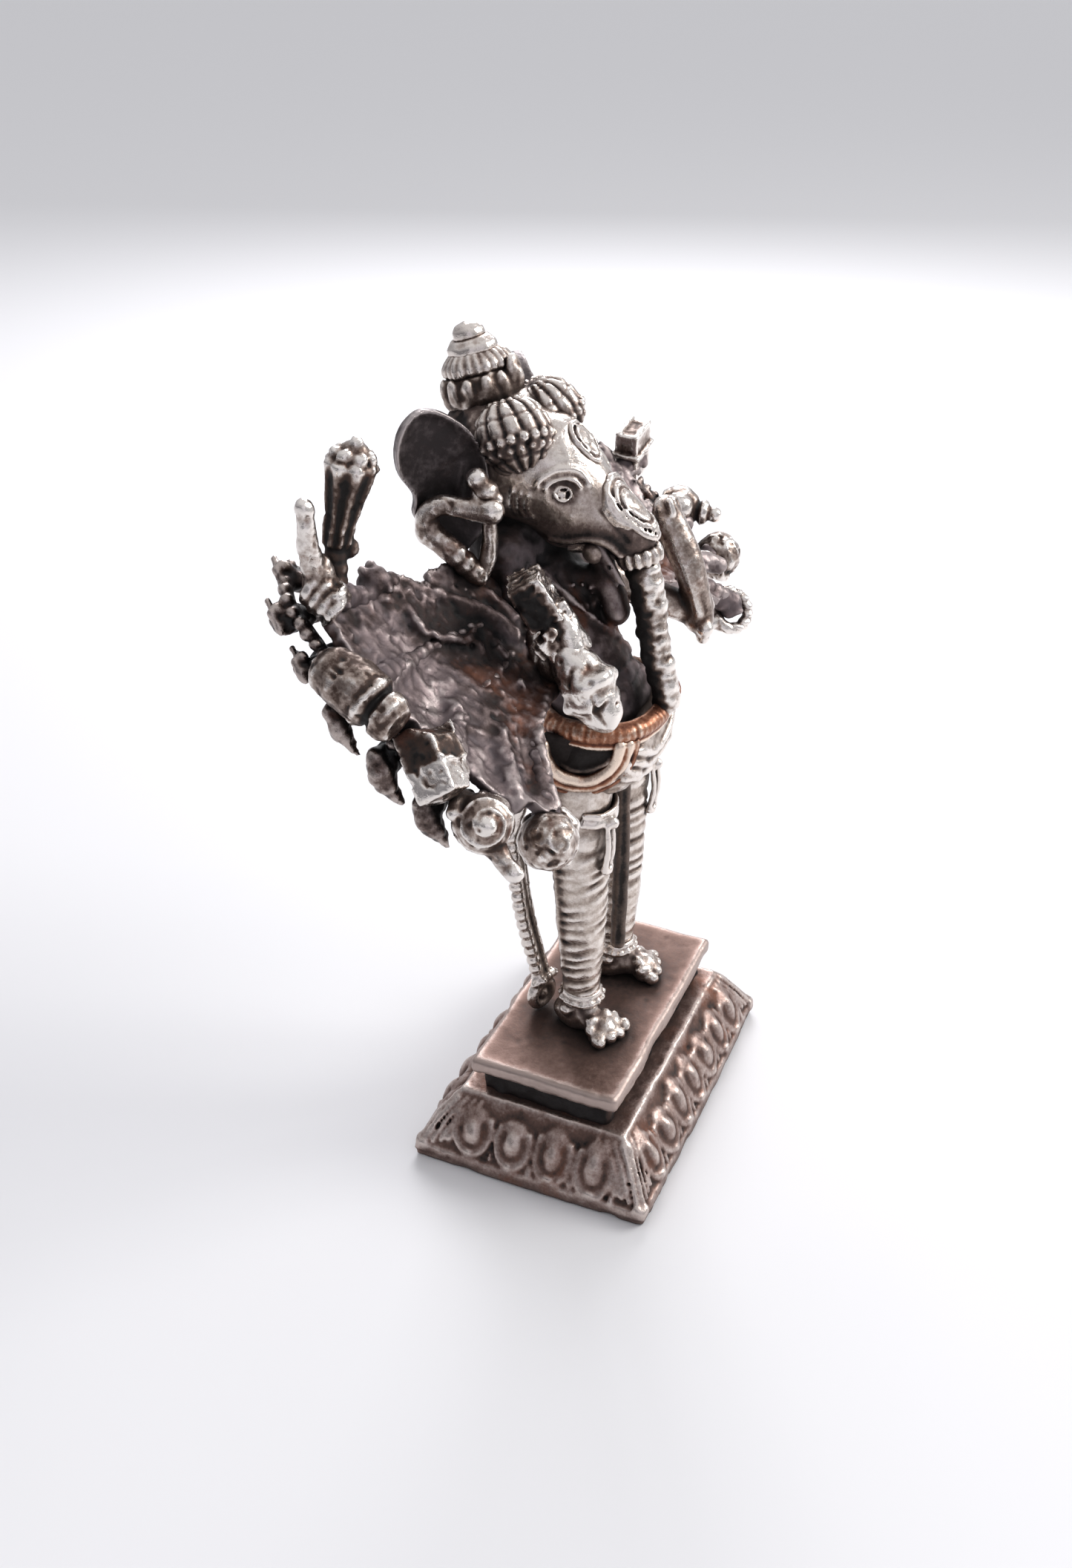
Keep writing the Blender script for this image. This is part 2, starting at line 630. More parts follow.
@dataclass(frozen=True)
class Patina:
    """Cast brass darkened by age: black-brown in the hollows, rubbed pale on whatever stands proud."""

    name: str
    slot: str
    hollow: str = "#14100e"
    body: str = "#5f5046"
    crest: str = "#a99c8e"
    shine: str = "#ece5da"
    stain: str = "#8f5230"
    wear: float = 0.0
    stain_share: float = 0.3
    dust: str = "#8d8483"
    dust_share: float = 0.0
    crest_rough: float = 0.3
    hollow_rough: float = 0.62
    blotch_mm: float = 4.5
    blotch: float = 0.15
    grit_mm: float = 0.45
    relief_gain: float = 2.4

    def sum_up(self, tree: bpy.types.NodeTree, operation: str, *values: bpy.types.NodeSocket | float,
            clamp: bool = False) -> bpy.types.NodeSocket:
        """The outcome of one operation on values, held between 0 and 1 where it is clamped."""
        return add_node(tree, "Math", dict(enumerate(values)), operation=operation,
            use_clamp=clamp).outputs[0]

    def share_map(self, tree: bpy.types.NodeTree, value: bpy.types.NodeSocket, low: float, high: float,
            start: float = 0.0, end: float = 1.0) -> bpy.types.NodeSocket:
        """A value carried from one range to another, and held inside it."""
        return add_node(tree, "MapRange", {"Value": value, "From Min": low, "From Max": high, "To Min": start,
            "To Max": end}).outputs["Result"]

    def material(self) -> bpy.types.Material:
        """The finish as a node material, made once and shared by its pieces."""
        if self.name in bpy.data.materials:
            return bpy.data.materials[self.name]
        made = bpy.data.materials.new(self.name)
        made.use_nodes = True
        tree = made.node_tree
        shader = tree.nodes["Principled BSDF"]
        place = add_node(tree, "TexCoord").outputs["Object"]
        proud = add_node(tree, "Attribute", attribute_name="relief").outputs["Fac"]
        # Grime gathers within about 3 mm of a corner, where a cloth or a thumb doesn't reach.
        open_air = add_node(tree, "AmbientOcclusion", {"Distance": 3.2 * MM}, samples=6).outputs["AO"]
        blotch = add_node(tree, "TexNoise", {"Vector": place, "Scale": 1 / (self.blotch_mm * MM),
            "Detail": 3.0, "Roughness": 0.6}).outputs["Fac"]
        grit = add_node(tree, "TexNoise", {"Vector": place, "Scale": 1 / (self.grit_mm * MM), "Detail": 3.0,
            "Roughness": 0.65}).outputs["Fac"]
        cloud = add_node(tree, "TexNoise", {"Vector": place, "Scale": 0.61 / (self.blotch_mm * MM),
            "Detail": 4.0, "Roughness": 0.7, "Distortion": 0.6}).outputs["Fac"]
        level = self.sum_up(tree, "MULTIPLY_ADD", proud, self.relief_gain, 0.5 + self.wear)
        level = self.sum_up(tree, "ADD", self.share_map(tree, blotch, 0.3, 0.7, -self.blotch, self.blotch),
            level)
        level = self.sum_up(tree, "ADD", self.share_map(tree, grit, 0.3, 0.7, -0.12, 0.12), level)
        level = self.sum_up(tree, "MULTIPLY", level, self.share_map(tree, open_air, 0.3, 0.88, 0.05, 1.0),
            clamp=True)
        ramp = add_node(tree, "ValToRGB", {"Fac": level})
        stops = ((0.0, self.hollow), (0.42, self.body), (0.7, self.crest), (1.0, self.shine))
        while len(ramp.color_ramp.elements) < len(stops):
            ramp.color_ramp.elements.new(0.5)
        for element, (spot, colour) in zip(ramp.color_ramp.elements, stops):
            element.position = spot
            element.color = linear(colour)
        colour = ramp.outputs["Color"]
        powder = add_node(tree, "Attribute", attribute_name="powder").outputs["Fac"]
        for tint, share, source, way in ((self.dust, self.dust_share, blotch, 0.2),
                (self.stain, self.stain_share, cloud, -0.13)):
            if share > 0:
                edge = 0.68 - 0.36 * share
                source = self.sum_up(tree, "MULTIPLY_ADD", powder, way, source)
                patch = self.share_map(tree, source, edge, edge + 0.14, 0.0, 0.72)
                fade = self.share_map(tree, level, 0.1, 0.95, 1.0, 0.15)
                patch = self.sum_up(tree, "MULTIPLY", patch, fade)
                patch = self.sum_up(tree, "MULTIPLY", patch, self.share_map(tree, level, 0.02, 0.3, 0.1, 1.0))
                colour = add_node(tree, "Mix", {"Factor": patch, 6: colour, 7: linear(tint)},
                    data_type="RGBA").outputs[2]
        tree.links.new(colour, shader.inputs["Base Color"])
        rough = self.share_map(tree, level, 0.25, 0.9, self.hollow_rough, self.crest_rough)
        rough = self.sum_up(tree, "ADD", self.share_map(tree, grit, 0.3, 0.7, -0.08, 0.1), rough, clamp=True)
        tree.links.new(rough, shader.inputs["Roughness"])
        tree.links.new(self.share_map(tree, level, 0.08, 0.5, 0.35, 1.0), shader.inputs["Metallic"])
        fine = add_node(tree, "TexNoise", {"Vector": place, "Scale": 2.4 / (self.grit_mm * MM),
            "Detail": 2.0})
        height = self.sum_up(tree, "MULTIPLY_ADD", fine.outputs["Fac"], 0.45, grit)
        bump = add_node(tree, "Bump", {"Strength": 0.55, "Distance": 0.09 * MM, "Height": height})
        tree.links.new(bump.outputs["Normal"], shader.inputs["Normal"])
        return made

    def dress(self, piece: bpy.types.Object) -> None:
        """Gives the piece this finish."""
        piece.data.materials.append(self.material())


# Petal block: brown-grey cast brass, dull, with copper-red bloom near the slab.
PLINTH = Patina("lost_wax_brass_plinth", "plinth_patina", hollow="#18110f", body="#6f5850", crest="#a39089",
    shine="#cfc2bb", stain="#8a543a", stain_share=0.36, crest_rough=0.3, blotch_mm=6.0, blotch=0.1)
# Slab and its waist: the same brass brushed flat by handling, so the eye sees an even lilac brown.
SLAB = Patina("rubbed_brass_slab", "plinth_patina", hollow="#181211", body="#66524b", crest="#856f67",
    shine="#b3a29b", stain="#8e5a44", stain_share=0.14, crest_rough=0.42, blotch_mm=9.0, blotch=0.05,
    wear=-0.1, grit_mm=0.7)
# Legs and dress: rolled wax strands cast in brass, their tops rubbed almost white.
CLOTH = Patina("rubbed_brass_cloth", "cloth_bronze", hollow="#1b1411", body="#7a6a61", crest="#bdb0a6",
    shine="#e9e0d9", stain_share=0.12, wear=0.14, crest_rough=0.2, blotch=0.1, relief_gain=2.8)
# Head, crown, feet: cast brass polished by touch, bright and smooth with brown left in the lines.
WORN = Patina("touch_polished_brass", "worn_bronze", hollow="#19110f", body="#70605a", crest="#b5a79e",
    shine="#e2d9d2", stain="#7a4f3a", stain_share=0.14, wear=0.15, crest_rough=0.16, blotch=0.1,
    relief_gain=2.6)
# Trunk: the same brass where only the ring tops are rubbed, brown-black between them.
TRUNK = Patina("ring_rubbed_brass", "worn_bronze", hollow="#130e0c", body="#564740", crest="#a99b92",
    shine="#f0e9e3", stain="#7a4a34", stain_share=0.2, wear=-0.08, crest_rough=0.16, relief_gain=2.8)
# Belt and loops: copper-red brazing metal, ribbed, with pale rubbed tops.
COPPER = Patina("brazed_copper_red", "brazed_copper_tone", hollow="#1a0f0b", body="#6c4233", crest="#a87a62",
    shine="#f0dccb", stain="#8f5538", stain_share=0.4, wear=-0.02, crest_rough=0.3)
# Fan plates and torso: unrubbed cast skin, dark and gritty, with lilac-grey dust and copper-red bloom.
DARK = Patina("dark_cast_skin", "dark_patina", hollow="#0f0c0c", body="#433836", crest="#756867",
    shine="#a89d9b", stain="#70432e", stain_share=0.36, dust="#82777a", dust_share=0.5, wear=-0.1,
    crest_rough=0.46, hollow_rough=0.66, blotch_mm=5.0, relief_gain=2.0, grit_mm=0.6)
# Claws behind the fan: nearly black cast brass with a wet-looking gloss.
CLAW = Patina("black_glossy_brass", "dark_patina", hollow="#0a0808", body="#231c1b", crest="#6b5d58",
    shine="#b9ada7", stain="#6a3c28", stain_share=0.25, wear=-0.12, crest_rough=0.26, hollow_rough=0.42)
# Hands and what they hold: pitted cast brass, bright on the tips and nearly black between them.
HAND = Patina("pitted_cast_brass", "hand_bronze", hollow="#130e0c", body="#54443d", crest="#a5968d",
    shine="#eee7e1", stain="#7a4936", stain_share=0.22, wear=0.03, crest_rough=0.16, relief_gain=2.8)
# Ears: thin cast sheet, dark and nearly smooth, with a soft grey sheen on the rolled rim.
EAR = Patina("dark_thin_cast_sheet", "dark_patina", hollow="#0e0c0c", body="#393333", crest="#6a6262",
    shine="#b5acaa", stain="#4a3833", stain_share=0.2, dust="#6a6667", dust_share=0.3, wear=-0.06,
    crest_rough=0.38, hollow_rough=0.5, blotch_mm=6.0, grit_mm=0.8, relief_gain=1.6)
# Lowest crown tier: cast brass that a thumb can't reach, brown-black with pale leaf edges.
CROWN = Patina("sheltered_cast_brass", "worn_bronze", hollow="#110d0b", body="#53443d", crest="#a3958c",
    shine="#efe6df", stain="#7d4d38", stain_share=0.25, wear=-0.04, crest_rough=0.28)


def pour(wax: Wax, node: str, patina: Patina, ease: int = 1) -> bpy.types.Object:
    """Casts one piece, dresses it and puts it in place of its CAD node.

    Args:
        wax: The finished wax.
        node: Name of the CAD node that the piece stands for.
        patina: Its finish.
        ease: How many times the skin is eased.

    Returns:
        The piece.
    """
    piece = wax.cast("cast_" + node, ease)
    patina.dress(piece)
    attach(piece, "root")
    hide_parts(node)
    log.info("%s: %d faces, %s", piece.name, len(piece.data.polygons), patina.name)
    return piece


def placed(side: Side, at: Point = (0, 0, 0), axes: np.ndarray | None = None) -> np.ndarray:
    """Matrix from a frame given for the left side to the row frame, mirrored for the right side.

    Args:
        side: The side it is for.
        at: Its origin.
        axes: 3x3 array with its axes as columns.

    Returns:
        A 4x4 matrix.
    """
    matrix = np.eye(4)
    if axes is not None:
        matrix[:3, :3] = axes
    matrix[:3, 3] = at
    return np.diag((side.value, 1.0, 1.0, 1.0)) @ matrix


def turn(axis: str, degrees: float) -> np.ndarray:
    """Rotation about one of the row's axes."""
    return np.array(Matrix.Rotation(radians(degrees), 3, axis.upper()))


def rings(base: float, taper: float, pitch: float, depth: float, start: float = 0.0,
        end: float = 1.0) -> Callable[[np.ndarray, np.ndarray], np.ndarray]:
    """Radius of a strand with rings rolled round it.

    Args:
        base: Radius at its start.
        taper: How much thicker it is at its end.
        pitch: Distance between rings.
        depth: How far a ring stands proud of its groove.
        start: Share along it where the rings start.
        end: Share along it where they end.

    Returns:
        A function of the distance and the share along the strand.
    """
    def size(s: np.ndarray, share: np.ndarray) -> np.ndarray:
        """Radius at a distance and share along the strand."""
        ribbed = (share > start) & (share < end)
        return base + taper * share + depth * (np.sqrt(np.abs(np.sin(pi * s / pitch))) - 0.6) * ribbed
    return size


# ---------------------------------------------------------------------------------------------------------
# Sub-assemblies


@dataclass
class Plinth:
    """Lotus plinth: a sloped block with pressed petals, an undercut waist and a plain slab."""

    length: float = 49.7
    width: float = 34.3
    rim: float = 2.2
    slope: float = 7.8
    lip: float = 0.7
    inset: float = 5.2
    recess: float = 3.2
    slab_length: float = 40.0
    slab_width: float = 21.7
    slab: float = 2.5
    long_petals: int = 7
    short_petals: int = 4
    bow: float = 0.45
    seed: int = 11

    @property
    def slab_z(self) -> float:
        """Height of the slab's underside."""
        return self.rim + self.slope + self.recess

    def base(self) -> None:
        """Petal block with its plain rim."""
        hx, hy, top = self.length / 2, self.width / 2, self.rim + self.slope
        wax = Wax((-hx, -hy, 0), (hx, hy, top + 0.3), 0.3)
        x, y, z = wax.all()
        side = np.maximum(np.abs(x) - hx + self.bow * (y / hy)**2, np.abs(y) - hy + self.bow * (x / hx)**2)
        rim = np.maximum(side, np.abs(z - self.rim / 2) - self.rim / 2)
        lean = (self.inset - self.lip) / self.slope
        back = self.lip + lean * (z - self.rim)
        cone = np.maximum(np.abs(x) - hx + back, np.abs(y) - hy + back) / hypot(1, lean)
        cone = np.maximum(cone, np.maximum(z - top, self.rim - 1 - z))
        wax.fill(rim, 0.3)
        wax.fill(cone, 0.5)
        rng = np.random.default_rng(self.seed)
        for out, half, other, count in (((0, -1, 0), hy, hx, self.long_petals),
                ((1, 0, 0), hx, hy, self.short_petals), ((0, 1, 0), hy, hx, self.long_petals),
                ((-1, 0, 0), hx, hy, self.short_petals)):
            self.petal_side(wax, np.array(out, float), half, other, count, rng)
        wax.roughen(3.0, 0.22, self.seed)
        wax.roughen(1.1, 0.07, self.seed + 1)
        wax.pit(1.0, 0.2, self.seed + 2, 0.5)
        x, y, z = wax.all()
        wax.bloom((1.0 * rise(x - 16, 8) * rise(z - 3, 5) - 0.9 * rise(x - 10, 10) * rise(z - 7, 2) + 0.2
            * rise(hx - 3 - x, 20)))
        wax.field = np.maximum(wax.field, np.maximum(-z, np.maximum(np.abs(x) - hx, np.abs(y) - hy)))
        pour(wax, "plinth_base", PLINTH)

    def petal_side(self, wax: Wax, out: np.ndarray, half: float, other: float, count: int,
            rng: np.random.Generator) -> None:
        """Presses the petals and corner ribs of one side.

        Args:
            wax: The block.
            out: Direction that the side faces.
            half: Distance from the middle to the side.
            other: Half the length of the side.
            count: How many petals it has.
            rng: Source of the small differences between petals.
        """
        up = np.array((0.0, 0.0, 1.0))
        along = np.cross(up, out)
        run = self.inset - self.lip
        normal = unit(out * self.slope + up * run)
        down = unit(out * run - up * self.slope)
        foot = out * (half - self.lip) + up * self.rim
        length = hypot(run, self.slope)
        axes = np.column_stack((along, -down, normal))
        pitch = (2 * other - 10.4) / count
        for i in range(count):
            wide = 0.5 * pitch * rng.uniform(0.82, 0.98)
            tall = length * rng.uniform(0.38, 0.45)
            lift = length * rng.uniform(0.4, 0.46)
            mid = foot + along * (i - (count - 1) / 2) * pitch - down * lift
            wax.ball(mid, (wide, tall, 1.1), axes, 0.35)
            lobe = [mid + along * wide * 0.98 * cos(a) - down * tall * 0.98 * sin(a) + normal * 0.12
                for a in np.linspace(radians(150), radians(390), 9)]
            wax.strand(lobe, 0.58, 0.35, steps=3)
            groove = [mid + 0.68 * (p - mid) + normal * 0.9 for p in lobe]
            wax.groove(groove, 0.42, 0.25, steps=3)
            wax.ball(mid - down * tall * 0.05 + normal * 0.6, (wide * 0.42, tall * 0.5, 0.85), axes, 0.3)
            wax.ball(mid + down * tall * rng.uniform(0.88, 1.0) + normal * 0.45, (0.85, 0.7, 0.75)
                if rng.random() < 0.6 else (0.5, 0.5, 0.5), axes, 0.3)
            wax.ball(mid + along * pitch * 0.5 + down * tall * 0.85 + normal * 0.1, (0.5, 0.9, 0.5), axes,
                0.3)
        for way in (-1, 1):
            for k, gap in enumerate((1.0, 2.15, 3.25, 4.3)):
                low_end = foot + along * way * (other - gap - 0.5) - down * (0.5 + 0.3 * k) + normal * 0.1
                high_end = foot + along * way * (other - gap - run * 0.82 - 0.5) - down * length * 0.86
                mid = (low_end + high_end) / 2 + along * way * rng.uniform(0.1, 0.35) + normal * 0.25
                wax.strand((high_end, mid, low_end), (0.34, 0.52), 0.3, steps=4)
            wax.ball(foot + along * way * (other - 1.3) + down * 0.2 + normal * 0.2, 0.8, blend=0.4)

    def waist(self) -> None:
        """Rough undercut between the petals and the slab."""
        half = (self.slab_length / 2 - 1.5, self.slab_width / 2 - 1.5)
        low = self.rim + self.slope - 0.7
        wax = Wax((-half[0] - 0.4, -half[1] - 0.4, low), (half[0] + 0.4, half[1] + 0.4, self.slab_z + 0.5),
            0.34)
        wax.slab((0, 0, (low + self.slab_z) / 2 + 0.2), (half[0], half[1], (self.slab_z - low) / 2 + 0.2),
            edge=0.5)
        wax.roughen(1.6, 0.42, self.seed + 3)
        wax.roughen(0.8, 0.18, self.seed + 4)
        wax.tint(-0.42)
        pour(wax, "plinth_recess", SLAB)

    def top(self) -> None:
        """Slab with a slightly wavy, rubbed edge."""
        half = np.array((self.slab_length / 2, self.slab_width / 2, self.slab / 2))
        mid = (0, 0, self.slab_z + half[2])
        wax = Wax((-half[0], -half[1], self.slab_z), (half[0], half[1], self.slab_z + self.slab), 0.3)
        wax.slab(mid, half - (0.2, 0.2, 0.1), edge=0.7)
        x, y, z = wax.all()
        rim = np.exp(np.maximum(np.abs(x) - half[0], np.abs(y) - half[1]) / 0.9)
        wax.roughen(5.5, 0.34, self.seed + 5, rim)
        wax.roughen(7.0, 0.13, self.seed + 6)
        wax.roughen(1.2, 0.05, self.seed + 7)
        wax.pit(1.2, 0.12, self.seed + 8, 0.6)
        by_feet = np.exp(-((np.abs(x) - 6.2) / 5.0)**2 - ((y + 1.0) / 5.5)**2)
        wax.tint((0.16 * rim - 0.14 * by_feet + 0.06 * rise(-x - 12, 8)))
        wax.bloom((-0.35 * rim))
        pour(wax, "plinth_slab", SLAB)

    def build(self) -> None:
        """Builds the three parts of the plinth."""
        self.base()
        self.waist()
        self.top()


@dataclass
class Leg:
    """One leg with its wound cloth, foot, anklet, thigh tie and hanging sash."""

    side: Side
    ankle: Point = (6.4, -0.2, 21.1)
    thigh: Point = (7.0, 0.8, 54.7)
    ground: float = 15.7
    low_r: float = 2.15
    top_r: float = 4.2
    ring_pitch: float = 1.75
    ring_share: float = 0.72
    foot_length: float = 8.5
    foot_turn: float = 17.0
    sash_top: Point = (9.2, 9.0, 47.0)
    sash_foot: Point = (5.6, 6.2, 20.9)
    curl: Point = (5.6, 6.2, 18.3)

    def node(self, stem: str) -> str:
        """Name of this side's node."""
        return f"{stem}_{self.side.word}"

    def cloth(self) -> None:
        """Leg wound with broad rings of cloth below a cuff."""
        wax = Wax((1.2, -5.4, 20), (12.4, 6.4, 57.2), 0.26, placed(self.side))

        def size(s: np.ndarray, share: np.ndarray) -> np.ndarray:
            """Tapered leg with rolled rings up to the cuff.

            Args:
                s: Distance along the leg.
                share: The same as a share of its length.

            Returns:
                The radius there.
            """
            rolled = np.sqrt(np.abs(np.sin(pi * s / self.ring_pitch + 0.5 * np.sin(s * 0.9)))) - 0.55
            cuff = np.exp(-((share - 0.79) / 0.03)**2) + 0.5 * np.exp(-((share - 0.93) / 0.03)**2)
            return (self.low_r + (self.top_r - self.low_r) * share**0.8 + 0.68 * rolled
                * (share < self.ring_share) + 0.35 * cuff)
        mid = np.add(self.ankle, self.thigh) / 2 + (0.25, -0.3, 0)
        wax.strand((np.array(self.ankle) + (0, 0, 0.2), mid, self.thigh), size, slant=(0.1, 0.24, 0),
            steps=10)
        wax.ball(self.thigh, 4.0, blend=0.8)
        fold = wax.seat([(10.2, 2.6, z) for z in (26, 33, 40, 47)], 0.0)
        wax.strand(fold, 0.35, 0.4)
        wax.weather(21, (2.2, 0.12), (0.8, 0.06))
        x, y, z = wax.all()
        wax.tint(-0.24 * rise(y - 0.4, 2.4))
        pour(wax, self.node("leg"), CLOTH)

    def foot(self) -> None:
        """Bare foot, lumpy and rubbed, with blunt toes."""
        place = placed(self.side, (self.ankle[0], 0.6, self.ground), turn("z", self.foot_turn))
        wax = Wax((-4.8, -9.0, 0), (5.0, 3.6, 6.6), 0.22, place)
        ball = self.foot_length * 0.62
        wax.strand(((0, 1.4, 1.6), (0, -1.4, 1.9), (0, -ball, 1.3)), (2.0, 1.7), 0.6)
        wax.ball((-1.5, -ball, 1.1), 1.5)
        wax.ball((1.6, -ball, 1.0), 1.4)
        wax.strand(((0, 0, 1.0), (0, -0.6, 5.4)), (2.1, 1.8), 0.8)
        for i in range(4):
            x, y = 1.75 * (i - 1.5), 0.35 * abs(i - 1.2) - ball - 1.5
            wax.ball((x, y, 0.95), (0.95, 1.15, 0.95), blend=0.15)
            wax.ball((x * 0.9, y + 1.7, 1.9), 0.8, blend=0.25)
        for x, y, z, r in ((-2.1, 0.2, 3.4, 1.0), (2.1, 0.0, 3.2, 1.0), (0.1, -2.6, 3.3, 1.15),
                (-1.2, -4.2, 2.7, 0.8), (1.4, -3.8, 2.6, 0.85)):
            wax.ball((x, y, z), r, blend=0.4)
        wax.weather(31, (1.1, 0.14), (0.6, 0.06))
        wax.field = np.maximum(wax.field, -wax.all()[2])
        pour(wax, self.node("foot"), WORN)

    def anklet(self) -> None:
        """Twisted ring above the foot with a row of pellets."""
        wax = Wax((-3.6, -3.6, -1.2), (3.6, 3.6, 1.9), 0.2, placed(self.side,
            np.add(self.ankle, (0, 0, -0.5))))
        circle = [(2.55 * co, 2.55 * si, 0.1) for co, si in compass(12)]
        wax.strand(circle, 0.62, closed=True, steps=3)
        wax.pellets([(1.12 * x, 1.12 * y, 0.25) for x, y, _ in circle], 1.2, 0.52, 0.15, closed=True)
        wax.strand([(0.92 * x, 0.92 * y, 1.15) for x, y, _ in circle], 0.4, closed=True, steps=3)
        wax.roughen(0.8, 0.06, 33)
        pour(wax, self.node("anklet"), WORN)

    def tie(self) -> None:
        """Band across the thigh with a folded tail hanging from its knot."""
        front = self.thigh[1] - self.top_r
        wax = Wax((-4.4, -1.9, -7.6), (4.4, 2.6, 2.2), 0.22, placed(self.side, (self.thigh[0], front, 50.4)))
        band = [(-3.7, 2.0, 0.9), (-2.6, 0.2, 0.7), (0, -0.65, 0.6), (2.6, 0.2, 0.7), (3.7, 2.0, 0.9)]
        wax.strand(band, 0.75, flat=((0, 1, 0), 0.6))
        wax.strand([np.add(p, (0, -0.1, 1.2)) for p in band], 0.35)
        for x in (0.4, 2.1):
            wax.strand(((x, -0.7, 0.2), (x + 0.3, -1.0, -3.2), (x, -0.5, -6.6)), (0.36, 0.45), 0.25)
        wax.strand(((0.4, -0.5, -6.6), (1.2, -0.75, -7.0), (2.1, -0.5, -6.6)), 0.5, 0.3)
        wax.ball((1.2, -1.0, 0.4), 0.85, blend=0.3)
        wax.roughen(0.8, 0.07, 34)
        pour(wax, self.node("thigh_tie"), CLOTH)

    def sash(self) -> None:
        """Beaded tail of the side sash, from the hip down to a curl on the slab."""
        wax = Wax((2.0, 2.2, self.ground), (11.6, 11.6, 58.6), 0.26, placed(self.side))
        top, end = np.array(self.sash_top), np.array(self.sash_foot)
        bend = (top + end) / 2 + (0.5, 0.5, 0)
        wax.strand(((8.8, 4.8, 57), (9.3, 7.4, 52.5), top), (1.25, 0.95), 0.5)
        wax.strand((top, bend, end), 1.15, flat=((0.4, 0.9, 0), 0.55), steps=10)
        wax.strand([p + (-1.0, -0.6, 0) for p in (top, bend, end)], 0.42, 0.2, steps=10)
        wax.pellets([p + (0.85, 0.1, 0) for p in (top, bend, end)], 1.7, 0.95, 0.2)
        circle = [np.add(self.curl, (1.75 * co, 0.62 * co, 1.75 * si)) for co, si in compass(10)]
        wax.strand(circle, 0.8, 0.3, closed=True, steps=3)
        wax.ball(self.curl, (0.9, 0.9, 0.9), blend=0.4)
        wax.strand(((3.6, 5.2, 20.8), (5.6, 5.6, 21.2), (7.6, 6.4, 21.0)), 0.62, 0.3)
        for x in (4.2, 5.6, 7.0):
            wax.ball((x, 5.3, 21.5), 0.55, blend=0.2)
        wax.roughen(1.0, 0.08, 35)
        x, y, z = wax.all()
        inner = rise(6.9 - x + 0.06 * (z - 21), 1.2) * rise(y - 5, 2)
        wax.tint(-0.3 * inner)
        pour(wax, self.node("side_sash"), CLOTH)

    def build(self) -> None:
        """Builds every part of the leg."""
        self.cloth()
        self.foot()
        self.anklet()
        self.tie()
        self.sash()


